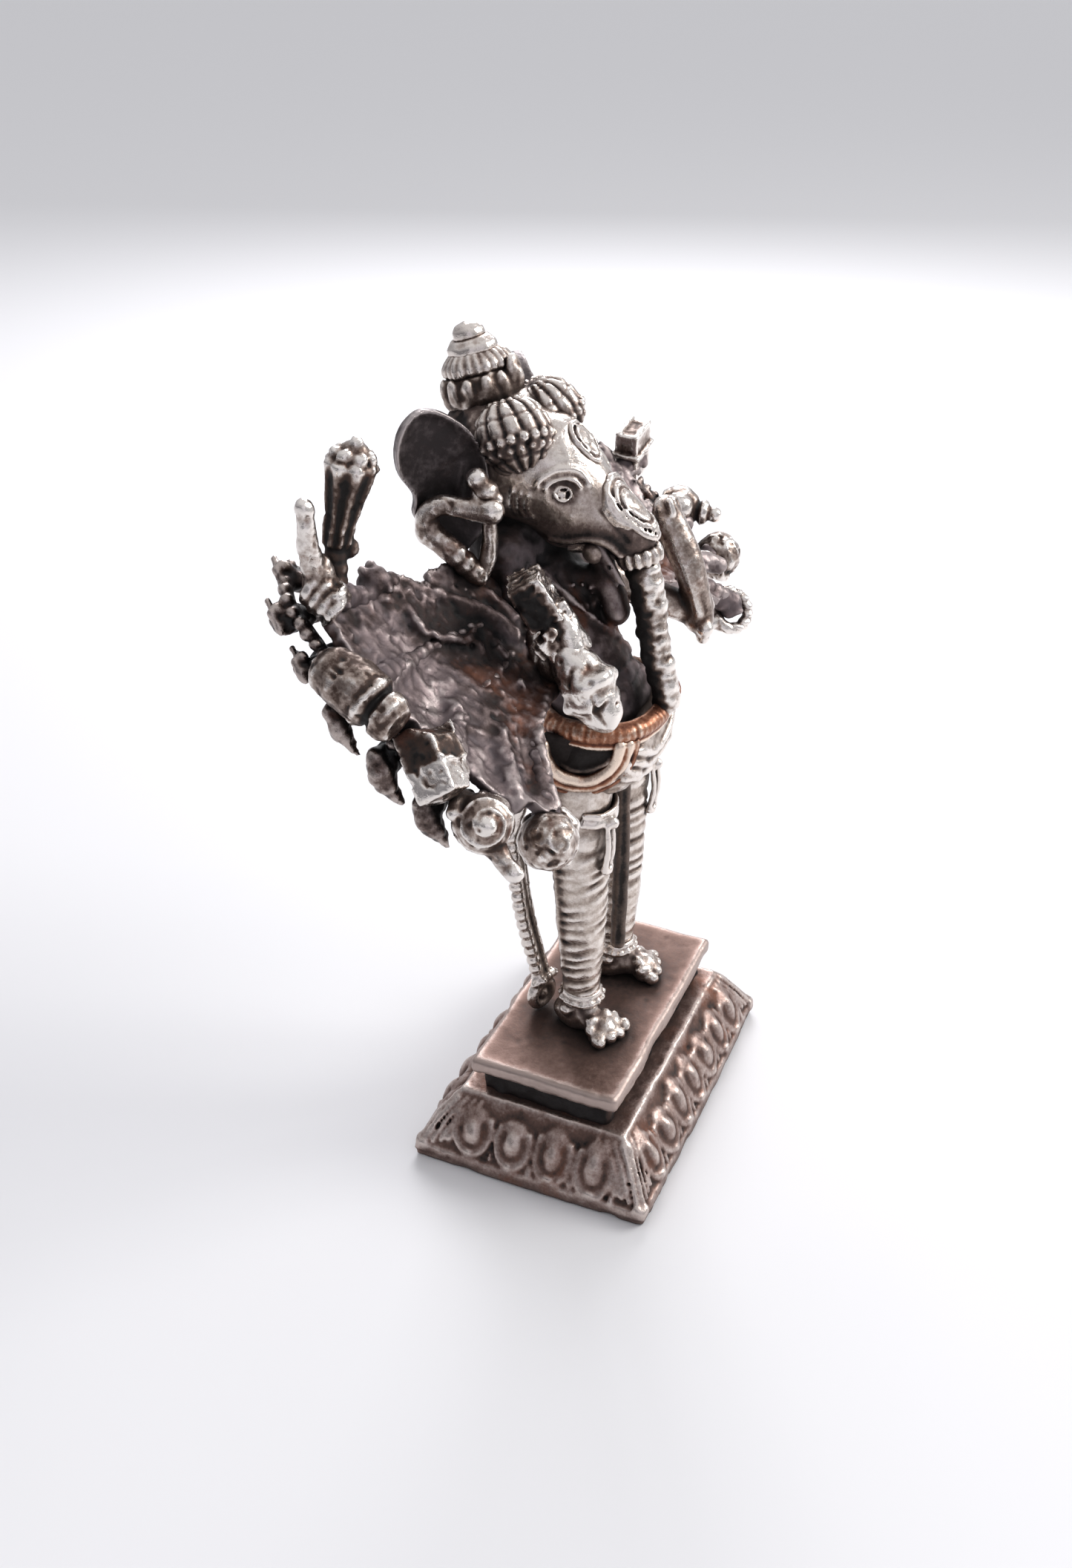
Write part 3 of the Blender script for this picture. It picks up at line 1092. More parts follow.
@dataclass
class HipDress:
    """Cloth bowl round the hips, its belt, the loops of sash at its sides and the pleat between the legs."""

    hip_r: float = 7.6
    hip_z: float = 59.6
    spread: float = 3.8
    belt_z: float = 63.7
    belt_r: float = 8.4
    loop_r: float = 5.2
    loop_turn: float = 66.0

    def bowl(self) -> None:
        """Cloth bowl with sagging folds."""
        wax = Wax((-11.9, -8.2, 51.4), (11.9, 8.2, self.belt_z), 0.28)
        wax.strand(((-self.spread, 0, self.hip_z), (self.spread, 0, self.hip_z)), self.hip_r - 0.35)
        for drop, reach in ((0.0, 0.55), (1.9, 0.5), (3.7, 0.45), (5.3, 0.4)):
            fold = wax.seat([(x, -7.4, self.hip_z + 2.2 - drop - 3.6 * cos(x / 9.5 * pi / 2)**2)
                for x in (-9.4, -6.2, -3.1, 0, 3.1, 6.2, 9.4)], 0.05)
            wax.strand(fold, reach, 0.35)
        for way in (-1, 1):
            for drop in (0.0, 2.2, 4.2):
                fold = wax.seat([(way * 11, y, self.hip_z + 2.0 - drop - 2.6 * cos(y / 8 * pi / 2)**2)
                    for y in (-6, -3, 0, 3, 6)], 0.05)
                wax.strand(fold, 0.5, 0.35)
        wax.weather(41, (1.4, 0.16), (0.7, 0.09))
        x, y, z = wax.all()
        wax.field = np.maximum(wax.field, z - (self.belt_z - 0.6))
        side_on = rise(np.abs(x) - 7.6, 1.6)
        wax.tint(-0.6 * side_on * np.exp(-((y + 1.2) / 3.6)**2 - ((z - self.belt_z + 2.6) / 3.0)**2))
        pour(wax, "hip_cloth", CLOTH)

    def belt(self) -> None:
        """Finely ribbed belt with a plain pale cord under it."""
        wax = Wax((-11.8, -9.4, self.belt_z - 2.1), (11.8, 9.2, self.belt_z + 1.4), 0.22)
        oval = []
        for a in np.linspace(0, tau, 16, False):
            oval.append((2.8 * copysign(min(1, abs(cos(a)) * 2), cos(a)) + (self.belt_r - 1.0) * cos(a), -0.2
                + (self.belt_r - 1.0) * sin(a), self.belt_z + 0.1))
        wax.strand(oval, rings(1.1, 0.0, 0.85, 0.24), closed=True, steps=5)
        wax.strand([(1.03 * x, 1.03 * y, z - 1.35) for x, y, z in oval], 0.5, 0.2, closed=True, steps=4)
        wax.strand([(0.95 * x, 0.95 * y, z + 0.75) for x, y, z in oval], 0.55, 0.3, closed=True, steps=4)
        wax.roughen(1.4, 0.1, 43)
        z = wax.all()[2]
        wax.tint((0.14 * rise(self.belt_z - 0.9 - z, 0.5) - 0.04))
        wax.bloom(-0.6)
        pour(wax, "waist_belt", COPPER)

    def loop(self, side: Side) -> None:
        """Nested loops of cloth beside the hip round a dark hollow, with folds that run up to the belt.

        Args:
            side: The side it is on.
        """
        centre = np.array((11.0, -1.0, self.belt_z - 0.9))
        wax = Wax(centre - (3.9, 7.6, 7.8), centre + (3.6, 7.6, 2.2), 0.22, placed(side))
        along = np.array((cos(radians(self.loop_turn)), sin(radians(self.loop_turn)), 0))
        out = np.array((0.91, -0.41, 0))
        for radius, thick, push in ((self.loop_r - 0.2, 0.8, 0.2), (self.loop_r + 1.1, 0.62, -0.3),
                (self.loop_r + 2.1, 0.5, -1.0)):
            arc = [centre + radius * (cos(a) * along * 0.94 + sin(a) * np.array((0, 0, 1))) + push * out
                for a in np.linspace(pi, tau, 9)]
            wax.strand(arc, thick, 0.25, steps=4)
        wax.slab(centre - out * 1.4 - (0, 0, 2.0), (0.6, 4.6, 2.8), turn("z", self.loop_turn - 90), 0.4, 0.5)
        wax.roughen(1.3, 0.12, 44)
        x, y, z = wax.all()
        behind = (x - centre[0]) * out[0] + (y - centre[1]) * out[1]
        wax.tint((0.06 * np.clip(behind, -1, 1) - 0.9 * np.clip(-behind - 0.4, 0, 0.8)))
        pour(wax, f"sash_loop_{side.word}", COPPER)

    def pleat(self) -> None:
        """Narrow folded strip of cloth that hangs between the legs."""
        wax = Wax((-1.6, -4.2, 25.0), (1.6, -1.4, 53.2), 0.22)
        wax.strand(((0, -3.1, 52.6), (0.1, -3.3, 40), (0, -3.1, 25.9)), (0.55, 0.8), 0.3, steps=8)
        wax.strand(((-0.5, -2.6, 52.6), (-0.5, -2.8, 40), (-0.6, -2.6, 25.9)), 0.42, 0.3, steps=8)
        wax.slab((0, -2.3, 39.2), (0.7, 0.4, 13.4), edge=0.3)
        wax.roughen(1.6, 0.14, 45)
        wax.tint(-0.35)
        pour(wax, "front_pleat", CLOTH)

    def build(self) -> None:
        """Builds the hip dress."""
        self.bowl()
        self.belt()
        for side in Side:
            self.loop(side)
        self.pleat()


@dataclass
class Torso:
    """Belly, chest and shoulders, mostly in shade behind the trunk."""

    belly: Point = (0, 3.6, 69.2)
    belly_r: float = 5.5
    chest: Point = (0, 9.2, 78.2)
    chest_r: float = 5.8
    shoulder: float = 5.6
    shoulder_r: float = 3.9
    neck: Point = (0, 11.4, 86.4)
    belt_z: float = 63.7

    def build(self) -> None:
        """Builds the torso with its necklace and sacred cord."""
        wax = Wax((-9.9, -5.4, self.belt_z - 0.8), (9.9, 17.4, 89.0), 0.3)
        wax.strand((self.belly, self.chest), (self.belly_r, self.chest_r), 1.0)
        wax.strand((np.add(self.belly, (0, -3.2, -3.0)), self.belly), (4.4, self.belly_r - 0.2), 1.0)
        wax.strand([(way * self.shoulder, self.chest[1], self.chest[2] + 0.6) for way in (-1, 1)],
            self.shoulder_r, 1.0)
        wax.strand((self.chest, self.neck), 4.3, 1.0)
        wax.strand(((-5.0, 12.2, 83.6), (0, 13.2, 84.4), (5.0, 12.2, 83.6)), 4.0, 1.2)
        wax.strand(((0, 1.6, 83.4), (0, 0.2, 80.0), (0, -1.0, 76.0)), (1.5, 1.6), 0.5)
        wax.strand(((0, 7.6, 79.2), (0, 0.8, 79.8)), (2.6, 1.6), 0.9)
        wax.strand(((-2.2, 1.1, self.belt_z - 0.4), (2.2, 1.1, self.belt_z - 0.4)), 5.8, 1.0)
        for low, wide in ((0.0, 4.6), (-1.8, 5.4)):
            necklace = wax.seat([(x, 2.0, 81 + low - 2.4 * cos(x / wide * pi / 2))
                for x in np.linspace(-wide, wide, 7)], 0.1)
            wax.pellets(necklace, 1.1, 0.5)
        cord = wax.seat([(-5.5, 6, 83), (-3.4, 2.2, 77), (0, 0, 72.6), (3.6, -1.2, 69.2), (6.0, 2, 66.5)],
            0.1)
        wax.strand(cord, 0.45)
        for height in (67.4, 70.0):
            fold = wax.seat([(x, -2.5, height - 0.8 * cos(x / 4)) for x in (-4.4, -2.2, 0, 2.2, 4.4)], 0.0)
            wax.groove(fold, 0.25, 0.3)
        wax.weather(51, (2.2, 0.2), (0.8, 0.1))
        x, y, z = wax.all()
        wax.field = np.maximum(wax.field, self.belt_z - 0.6 - z)
        front = np.exp(-((z - 77) / 4.5)**2) * rise(7 - y, 4)
        wax.bloom((0.6 * rise(71.5 - z, 4) - 1.0 * front + 0.1 * rise(z - 82, 3)))
        wax.tint((0.06 * front - 0.14 * rise(z - 80, 2)))
        wax.roughen(1.1, 0.2, 53)
        pour(wax, "torso", DARK)


FAN_HANDS: tuple[Point, ...] = ((34.0, -15.9, -1.4), (40.0, -9.2, -1.0), (40.0, -0.8, 0.4), (41.0, 9.6, 0.6),
    (34.4, 19.6, 0.8), (27.0, 18.6, 0.6))


@dataclass
class Fan:
    """One half of the leaning fan: the webbed plate, the arms in relief on it and the fists behind it."""

    side: Side
    at: Point = (0.0, 5.0, 75.0)
    tilt: float = 39.0
    thick: float = 1.6
    root_u: float = 10.6
    arm_w: float = -0.2
    left_reach: float = 0.86
    outline: tuple[Point, ...] = ((5.5, 10.6), (10.3, 12.4), (17, 15.1), (19.4, 14.6), (21.4, 16.6), (26, 18),
        (29.4, 18), (33, 19.6), (36.4, 17.6), (38.4, 12), (38.8, 5), (38.4, -2), (37, -8), (33.4, -13.4),
        (31, -14.2), (28.4, -10.9), (25.2, -7.6), (20, -5.6), (12, -4.8), (6, -4.8))
    rear: tuple[Point, ...] = ((40.6, -3.8, -4.4), (40.8, 3, -4.4), (40.4, 9.8, -4.2), (38.4, 16, -4),
        (36.8, 21.4, -3), (32.4, 24.6, -1.8))

    @property
    def place(self) -> np.ndarray:
        """Matrix of the fan's frame: outwards, up its plane, out of its face."""
        return placed(self.side, self.at, turn("x", self.tilt))

    def hand(self, number: int, axes: np.ndarray | None = None) -> np.ndarray:
        """Matrix of the frame at the end of a front arm.

        Args:
            number: The arm.
            axes: 3x3 array with the frame's axes as columns.

        Returns:
            A 4x4 matrix.
        """
        local = np.eye(4)
        local[:3, 3] = FAN_HANDS[number]
        if axes is not None:
            local[:3, :3] = axes
        return self.place @ local

    def root(self, hand: Point) -> tuple[float, float, float]:
        """Where the arm to a hand leaves the shoulder."""
        return (self.root_u, hand[1] * 0.34 + 2, self.arm_w)

    def plate(self) -> None:
        """Gritty dished web with a torn upper edge, a swirl in its hollow and columns down to the fruit."""
        wax = Wax((4.5, -15.6, -2.4), (40.2, 20.8, 2.6), 0.28, self.place)
        x, y, z = wax.all()
        reach = 1.0 if self.side is Side.RIGHT else self.left_reach
        edge = outline_distance(x, y, [(5.5 + (u - 5.5) * reach, v) for u, v in self.outline])
        flat = [wax.ticks[0], wax.ticks[1], wax.ticks[2][:1]]
        edge = edge + 0.55 * mottle(flat, 2.6, 61) + 0.35 * mottle(flat, 0.9, 60)
        dish = -0.8 + 1.15 * np.exp(np.minimum(edge, 0) / 3.2)
        body = np.maximum(np.abs(z - dish) - self.thick / 2, edge)
        wax.fill(body, 0.6)
        wax.weather(62, (5.0, 0.5), (2.2, 0.16))
        for start, mid, end, r in (((28.0, -3.6), (31.4, -6.4), (35.6, -10.0), 1.45),
                ((23.6, -7.4), (26.6, -9.2), (30.6, -13.2), 0.95),
                ((31.0, 1.5), (34.0, -0.6), (37.4, -2.6), 1.2), ((31.5, 8.4), (34.6, 8.6), (37.6, 8.2), 1.2)):
            wax.strand([(*p, 0.2) for p in (start, mid, end)], (0.6 * r, r), 0.9)
        wax.groove([(*p, 0.9) for p in ((25.4, -5.8), (28.6, -8.2), (32.0, -11.0))], 0.85, 0.6)
        swirl_at = [(24.6, 13.0), (25.4, 10.8), (23.8, 8.2), (20.6, 6.0), (18.4, 6.4)]
        wax.ball((20.8, 8.6, 0.9), (3.3, 1.9, 1.2), turn("z", 32), 0.6, Join.CARVE)
        wax.strand([(*p, 0.35) for p in swirl_at], (0.75, 0.4), 0.5)
        wax.strand([(*p, 0.3) for p in ((19.4, 13.6), (17.2, 10.2), (14.4, 6.6), (13.6, 3.0))], (0.9, 1.3),
            0.9)
        wax.strand([(*p, 0.2) for p in ((26.4, 15.6), (22.8, 15.0), (20.4, 12.0))], (0.8, 0.6), 0.8)
        wax.strand([(*p, 0.1) for p in ((12.6, 11.4), (11.4, 8.0), (11.0, 4.0))], 1.1, 0.8)
        wax.strand([(*p, 0.5) for p in self.outline[15:19]], (0.55, 0.9), 0.4)
        rng = np.random.default_rng(65)
        for _ in range(34):
            u, v = rng.uniform(10.5, 20), rng.uniform(-2, 12)
            wax.ball((u, v, rng.uniform(-0.3, 0.3)), rng.uniform(0.3, 0.8), blend=0.4)
        near_edge = rise(edge + 3.2, 2.6)
        wax.roughen(1.2, 0.14, 64)
        wax.roughen(0.62, 0.17, 66)
        wax.pit(0.8, 0.4, 67, 0.34)
        outer = rise(x + 0.35 * y - 26, 6) * rise(15 - y, 3)
        deep = np.exp(-((x - 20) / 6)**2 - ((y - 7) / 5)**2) + rise(15 - x, 5) * rise(4 - y, 4)
        wax.tint((0.1 * outer - 0.16 * deep + 0.05 * near_edge))
        rust = np.exp(-((x - 25) / 4)**2 - ((y + 5.2) / 1.6)**2) + np.exp(-((x - 16) / 6)**2
            - ((y + 4.4) / 1.2)**2)
        wax.bloom(((1.0 * outer - 0.6 * deep) * (1 - np.clip(rust, 0, 1)) - 1.3 * rust))
        pour(wax, f"fan_plate_{self.side.word}", DARK)

    def arms(self) -> None:
        """Six arms sunk in the web, which come clear of it only at the wrists."""
        wax = Wax((8.2, -17.4, -2.8), (42.4, 21.2, 2.6), 0.28, self.place)

        def limb(s: np.ndarray, share: np.ndarray) -> np.ndarray:
            """Arm that swells from a thin ridge to the wrist."""
            return 0.75 + 0.8 * rise(share - 0.62, 0.3) + 0.1 * np.sin(tau * s / 1.7)
        for number, hand in enumerate(FAN_HANDS):
            root = np.array(self.root(hand))
            tip = np.array(hand) - (np.array(hand) - root) * (1.6 / np.linalg.norm(np.array(hand) - root))
            if number == 0:
                mid = [(22.6, -6.2, -0.3), (28.4, -10.4, 0.0)]
            else:
                mid = [(root + tip) / 2 + (0, 0.9 if number > 2 else 0.2, -0.9)]
            wax.strand([root, *mid, tip], limb, 0.5)
            wax.ball(tip, 1.7, blend=0.7)
            for k in range(3):
                wax.ball(tip + (-0.9 + 0.9 * k, 1.6 * (-1)**k, 0.6), 0.6, blend=0.35)
        wax.weather(67, (1.7, 0.22), (0.7, 0.16))
        wax.pit(0.9, 0.3, 69, 0.4)
        wax.tint(-0.03)
        x = wax.all()[0]
        wax.bloom(np.clip((x - 24) / 8, -0.4, 1))
        pour(wax, f"arms_{self.side.word}", DARK)

    def fists(self) -> None:
        """Second row behind the plate: two curved black claws, then a ridge of fists and beads."""
        wax = Wax((28, -11.5, -7.6), (43.8, 27.4, 1.0), 0.24, self.place)
        for k, tip in enumerate(self.rear):
            tip = np.array(tip)
            plump = 0.88 if k < 2 else 0.7
            root = np.array((tip[0] - 5.5, tip[1] * 0.86, -self.thick * 0.8))
            bend = tip + (0.5, -0.6, -0.3)
            hook = tip + ((0.5, -4.5, -1.5) if k < 3 else (-1.4, 1.8, -0.9))
            wax.strand((root, (root + tip) / 2 + (0, 0, -0.5), bend, hook), lambda s, share,
                plump=plump: plump * (1.1 + 0.85 * np.sin(pi * np.clip(share * 1.15 - 0.1, 0, 1)) - 0.8
                * share**3 + 0.2 * np.sin(tau * s / 1.5)), 0.3, slant=(0.6, 0.2, 0.5))
            wax.ball(tip + (0.4, 0.7, 0.5), 1.2 * plump, blend=0.4)
            wax.strand((tip + (1.1, 0.8, 0.2), tip + (1.2, -1.2, -0.6), hook + (0.4, 0.6, 0.2)), (0.6, 0.35),
                0.2)
        edge = [(p[0] - 1.4, p[1] + 0.6, -1.9) for p in self.rear]
        wax.strand(edge, 0.65, 0.5)
        wax.pellets([np.add(p, (0.8, 0, 0.2)) for p in edge], 1.5, 0.78, 0.2)
        wax.weather(71, (1.2, 0.16), (0.7, 0.08))
        pour(wax, f"rear_hands_{self.side.word}", CLAW)

    def build(self) -> None:
        """Builds the half fan."""
        self.plate()
        self.arms()
        self.fists()


def swirl(wax: Wax, radius: float, axis: Point, turns: float, thick: float) -> None:
    """Winds a thin coil over a ball at the origin of a wax block, from its pole to past its equator.

    Args:
        wax: The block that holds the ball.
        radius: The ball's radius.
        axis: Direction of the pole.
        turns: How many times the coil goes round.
        thick: The coil's radius.
    """
    own = frame_of(axis)
    path = []
    for share in np.linspace(0.06, 1, int(14 * turns)):
        tilt, round_ = share * radians(112), share * turns * tau
        path.append(radius * (own @ (sin(tilt) * cos(round_), sin(tilt) * sin(round_), cos(tilt))))
    wax.strand(path, thick, 0.14, steps=2)


@dataclass
class Attributes:
    """What the fan's front hands hold."""

    right: Fan
    left: Fan
    ball_r: float = 3.55

    def start(self, fan: Fan, number: int, reach: float, grain: float = 0.2,
            axes: np.ndarray | None = None) -> Wax:
        """An empty block round the end of a front arm."""
        return Wax((-reach,) * 3, (reach,) * 3, grain, fan.hand(number, axes))

    def finish(self, wax: Wax, node: str, seed: int, rough: float = 0.12, pits: float = 0.25) -> None:
        """Roughens, pits and casts one piece.

        Args:
            wax: The modelled piece.
            node: Its CAD node.
            seed: Which unevenness it has.
            rough: Depth of the unevenness.
            pits: Depth of the pits.
        """
        wax.roughen(1.1, rough, seed)
        wax.roughen(0.5, rough * 0.45, seed + 1)
        wax.pit(0.6, pits, seed + 2, 0.4)
        pour(wax, node, HAND)

    def fruit(self, fan: Fan, number: int) -> None:
        """Round fruit with a faintly coiled, pitted skin, cupped in a palm.

        Args:
            fan: Half fan that holds it.
            number: The arm that holds it.
        """
        wax = self.start(fan, number, 4.6)
        wax.ball((0, 0, 0), self.ball_r - 0.25)
        swirl(wax, self.ball_r - 0.27, (0.5, -0.3, 0.8), 4.0, 0.13)
        for a in (-70, -25, 20, 65):
            v, w = sin(radians(a)), cos(radians(a))
            wax.strand(((-3.9, 1.0 * v, 0.6), (-3.2, 2.3 * v, -1.4 * w), (-1.0, 3.4 * v, -3.0 * w)),
                (1.0, 0.6), 0.4)
        self.finish(wax, f"fruit_{fan.side.word}", 81 + number, 0.15, 0.26)

    def sweet(self) -> None:
        """Round sweet coiled up to a bright nub, gripped from behind, with a short tassel under it."""
        wax = Wax((-4.4, -7.4, -4.4), (4.4, 4.4, 4.6), 0.2, self.right.hand(1))
        axis = (0.74, -0.1, 0.64)
        wax.ball((0, 0, 0), self.ball_r - 0.3)
        swirl(wax, self.ball_r - 0.28, axis, 4.2, 0.19)
        wax.ball(unit(axis) * (self.ball_r - 0.4), 1.0, blend=0.9)
        wax.strand(((-2.2, 3.0, -0.6), (0.0, 3.7, 0.2), (2.2, 3.0, -0.2)), (0.7, 0.8), 0.6)
        wax.strand(((0.6, -3.0, -0.8), (1.2, -4.6, -0.8), (1.7, -6.0, -0.6)), (1.25, 0.95), 0.4)
        wax.ball((1.8, -6.0, -0.5), 1.0, blend=0.3)
        self.finish(wax, "sweet_right", 84, 0.12, 0.24)

    def axe_head(self) -> None:
        """Crisp broken block: a dark upper face, and a bright pitted front over its rounded lower end."""
        wax = self.start(self.right, 2, 5.6)
        axes = turn("z", 24) @ turn("x", 10) @ turn("y", -14)
        wax.slab(axes @ (0.0, -0.3, 0), (2.6, 4.0, 2.4), axes, 0.25)
        wax.slab(axes @ (0.6, 4.4, 1.6), (3.0, 1.6, 2.4), axes @ turn("x", 34), 0.15, 0.2, Join.CARVE)
        wax.slab(axes @ (-3.0, -4.2, 0.4), (1.6, 1.6, 3.4), axes @ turn("z", 38), 0.15, 0.2, Join.CARVE)
        wax.ball(axes @ (0.3, -3.2, -0.3), (2.3, 1.5, 2.1), axes, 0.6)
        wax.strand([axes @ p for p in ((-2.5, -0.6, 2.3), (0, -1.0, 2.5), (2.5, -0.4, 2.3))], 0.26, 0.2)
        x, y, z = wax.all()
        top = x * axes[0, 1] + y * axes[1, 1] + z * axes[2, 1]
        wax.roughen(1.6, 0.14, 86)
        wax.tint(np.where(top > -0.8, -0.12, 0.16))
        wax.bloom(np.where(top > -0.8, -0.3, 0.0))
        self.finish(wax, "axe_head_right", 87, 0.09, 0.36)

    def conch(self) -> None:
        """Plain barrel of a conch with a collar groove and a rounded, pitted nub."""
        wax = self.start(self.right, 3, 6.9, 0.22, turn("z", 6) @ turn("x", 78))
        wax.turned((0, 0, 0), (0.02, 0, 1), ((0, -5.9), (1.7, -5.6), (2.6, -4.5), (3.05, -2.2), (3.15, 0.2),
            (2.95, 1.9), (2.75, 2.3), (2.2, 2.55), (2.2, 2.9), (2.7, 3.3), (2.65, 4.5), (1.9, 5.6), (0, 6.1)),
            0.4)
        wax.strand([(2.95 * co, 2.95 * si, 1.5 + 0.3 * si) for co, si in compass(12)], 0.3, 0.4, closed=True,
            steps=3)
        x, y, z = wax.all()
        wax.tint((-0.07 - 0.12 * rise(-x - 0.5, 2)))
        wax.bloom(-1.0 * rise(-x - 0.4, 1.4))
        wax.roughen(2.6, 0.22, 89)
        self.finish(wax, "conch_right", 90, 0.13, 0.34)

    def pointing_hand(self) -> None:
        """Fist with curled fingers and one raised finger."""
        wax = Wax((-3.2, -3.8, -2.8), (4.4, 8.6, 9.4), 0.22, self.right.hand(4))
        wax.strand(((0, 0, 0), (-0.4, 2.6, 2.0)), (2.0, 1.7), 0.5)
        for k in range(4):
            y = 1.15 * k - 1.9
            wax.strand(((-0.9, y + 0.3, 1.7), (1.0, y, 1.9), (2.0, y - 0.2, 0.5), (1.2, y - 0.3, -0.9)), 0.66,
                0.12)
        wax.strand(((0.4, 2.2, 1.8), (1.2, 4.6, 4.6), (1.4, 5.8, 6.2), (1.6, 7.0, 7.8)),
            rings(1.3, -0.42, 2.3, 0.14), 0.3)
        wax.ball((1.6, 7.1, 7.9), (1.0, 1.1, 1.0), blend=0.3)
        wax.strand(((-1.3, 0.2, 1.4), (-0.4, -1.0, 2.3), (1.0, -1.2, 2.4)), (0.85, 0.6), 0.15)
        self.finish(wax, "pointing_hand_right", 93, 0.14)

    def mace(self) -> None:
        """Flared mace with grooved sides and a knobbly head, standing above the fan."""
        foot, neck, head_end = (31.6, 19.8, 88.0), (30.4, 20.2, 92.4), (28.6, 18.6, 101.6)
        wax = Wax((24.4, 14.4, 86.6), (34.4, 23.8, 105.2), 0.22, placed(Side.RIGHT))
        wax.strand((foot, neck), rings(1.25, 0.0, 1.4, 0.2), 0.3)
        axis = np.subtract(head_end, neck)
        length = float(np.linalg.norm(axis))
        wax.turned(neck, axis, ((0, -0.2), (1.5, 0), (1.7, 0.3 * length), (2.35, 0.7 * length),
            (2.95, 0.94 * length), (2.6, length), (0, length + 0.2)), 0.3, ribs=8, depth=0.2)
        own = frame_of(axis)
        for k in range(7):
            a = k * tau / 7
            off = own @ (1.75 * cos(a), 1.75 * sin(a), 0.35)
            wax.ball(np.add(head_end, off), 0.95, blend=0.15)
        wax.ball(np.add(head_end, own @ (0, 0, 0.9)), (1.6, 1.6, 1.3), own, 0.2)
        wax.ball(np.add(head_end, own @ (0.5, -0.3, 1.9)), 0.8, blend=0.2)
        wax.ball(np.add(neck, (-1.3, -0.8, -0.6)), 1.15, blend=0.3)
        wax.tint(-0.18 * rise(101.4 - wax.all()[2], 1.5))
        self.finish(wax, "mace_right", 96, 0.12)

    def noose(self) -> None:
        """Loop of twisted rope on a short grip."""
        wax = self.start(self.left, 0, 5.4, 0.22, turn("x", 6) @ turn("y", -38))
        circle = [(-1.2 + 2.6 * co, 2.7 * si, 0) for co, si in compass(12)]
        wax.strand(circle, lambda s, share: 0.85 + 0.13 * np.sin(tau * s / 1.3), 0.2, slant=(0.7, 0.7, 0.7),
            closed=True, steps=5)
        wax.strand(((-5.0, 0.6, 0), (-3.8, 0.2, 0)), rings(1.1, 0.0, 1.1, 0.14), 0.4)
        self.finish(wax, "noose_left", 98, 0.06, 0.15)

    def pot(self) -> None:
        """Two-bellied pot with a collar and a ball finial."""
        wax = self.start(self.left, 2, 6.4, 0.22, turn("x", 58) @ turn("y", 8))
        wax.turned((0, 0, 0), (0, 0, 1), ((0, -3.6), (1.9, -3.3), (3.1, -1.6), (3.1, 0.3), (2.1, 1.7),
            (1.3, 2.2), (1.9, 2.8), (1.6, 3.5), (0.9, 3.9), (0, 4.2)), 0.4)
        wax.ball((-2.4, 0.9, -0.4), 2.1, blend=0.5)
        wax.ball((0, 0, 4.6), 1.15, blend=0.25)
        self.finish(wax, "pot_left", 101, 0.07, 0.15)

    def book(self) -> None:
        """Upright bundle of leaves between two boards."""
        wax = Wax((-6.6, -3.4, -4.0), (2.4, 4.4, 6.4), 0.22, self.left.hand(3))
        axes = turn("x", -34) @ turn("y", -12)
        mid = np.array((-2.4, 0.6, 1.2))
        wax.slab(mid, (2.5, 1.3, 3.6), axes, 0.3)
        for way in (-1, 1):
            wax.slab(mid + axes @ (0, 1.3 * way, 0), (2.8, 0.4, 3.8), axes, 0.2, 0.12)
        for k in range(-2, 3):
            wax.strand([mid + axes @ (-2.5, 0.4 * k, z) for z in (-3.4, 0, 3.4)], 0.2, 0.1)
        wax.strand([mid + axes @ (x, y, 0.4) for x, y in ((-2.9, -1.8), (2.9, -1.8), (2.9, 1.8),
            (-2.9, 1.8))], 0.4, 0.2, closed=True, steps=1)
        self.finish(wax, "book_left", 104, 0.08, 0.15)

    def open_hand(self) -> None:
        """Small open hand."""
        wax = self.start(self.left, 4, 3.6, 0.2)
        wax.ball((0, 0, 0), (1.9, 1.6, 1.7), blend=0.4)
        for k in range(4):
            x = 1.05 * (k - 1.5)
            wax.strand(((x, 0.6, 0.5), (1.15 * x, 1.6, 1.3), (1.35 * x, 2.5, 1.4)), (0.72, 0.5), 0.15)
        wax.strand(((-1.3, -0.4, 0.6), (-1.7, 0.6, 1.7)), (0.7, 0.55), 0.2)
        self.finish(wax, "open_hand_left", 107)

    def bud(self) -> None:
        """Lotus bud held between two fingers."""
        wax = self.start(self.left, 5, 4.0, 0.2)
        wax.ball((0, 0, 0), 1.65)
        for k in range(6):
            a = k * tau / 6
            wax.ball((-0.4 + 0.75 * cos(a), 2.0, 0.8 + 0.75 * sin(a)), (0.75, 1.4, 0.75), blend=0.12)
        wax.ball((-0.4, 3.0, 0.9), 0.55, blend=0.2)
        for k in (-0.6, 0.6):
            wax.strand(((-0.8, -0.6, 1.2 + k), (0.2, 0.3, 1.8 + k), (0.9, 1.0, 0.9 + k)), 0.55, 0.15)
        self.finish(wax, "bud_left", 110)

    def build(self) -> None:
        """Builds all attributes of both halves."""
        self.fruit(self.right, 0)
        self.sweet()
        self.axe_head()
        self.conch()
        self.pointing_hand()
        self.mace()
        self.noose()
        self.fruit(self.left, 1)
        self.pot()
        self.book()
        self.open_hand()
        self.bud()


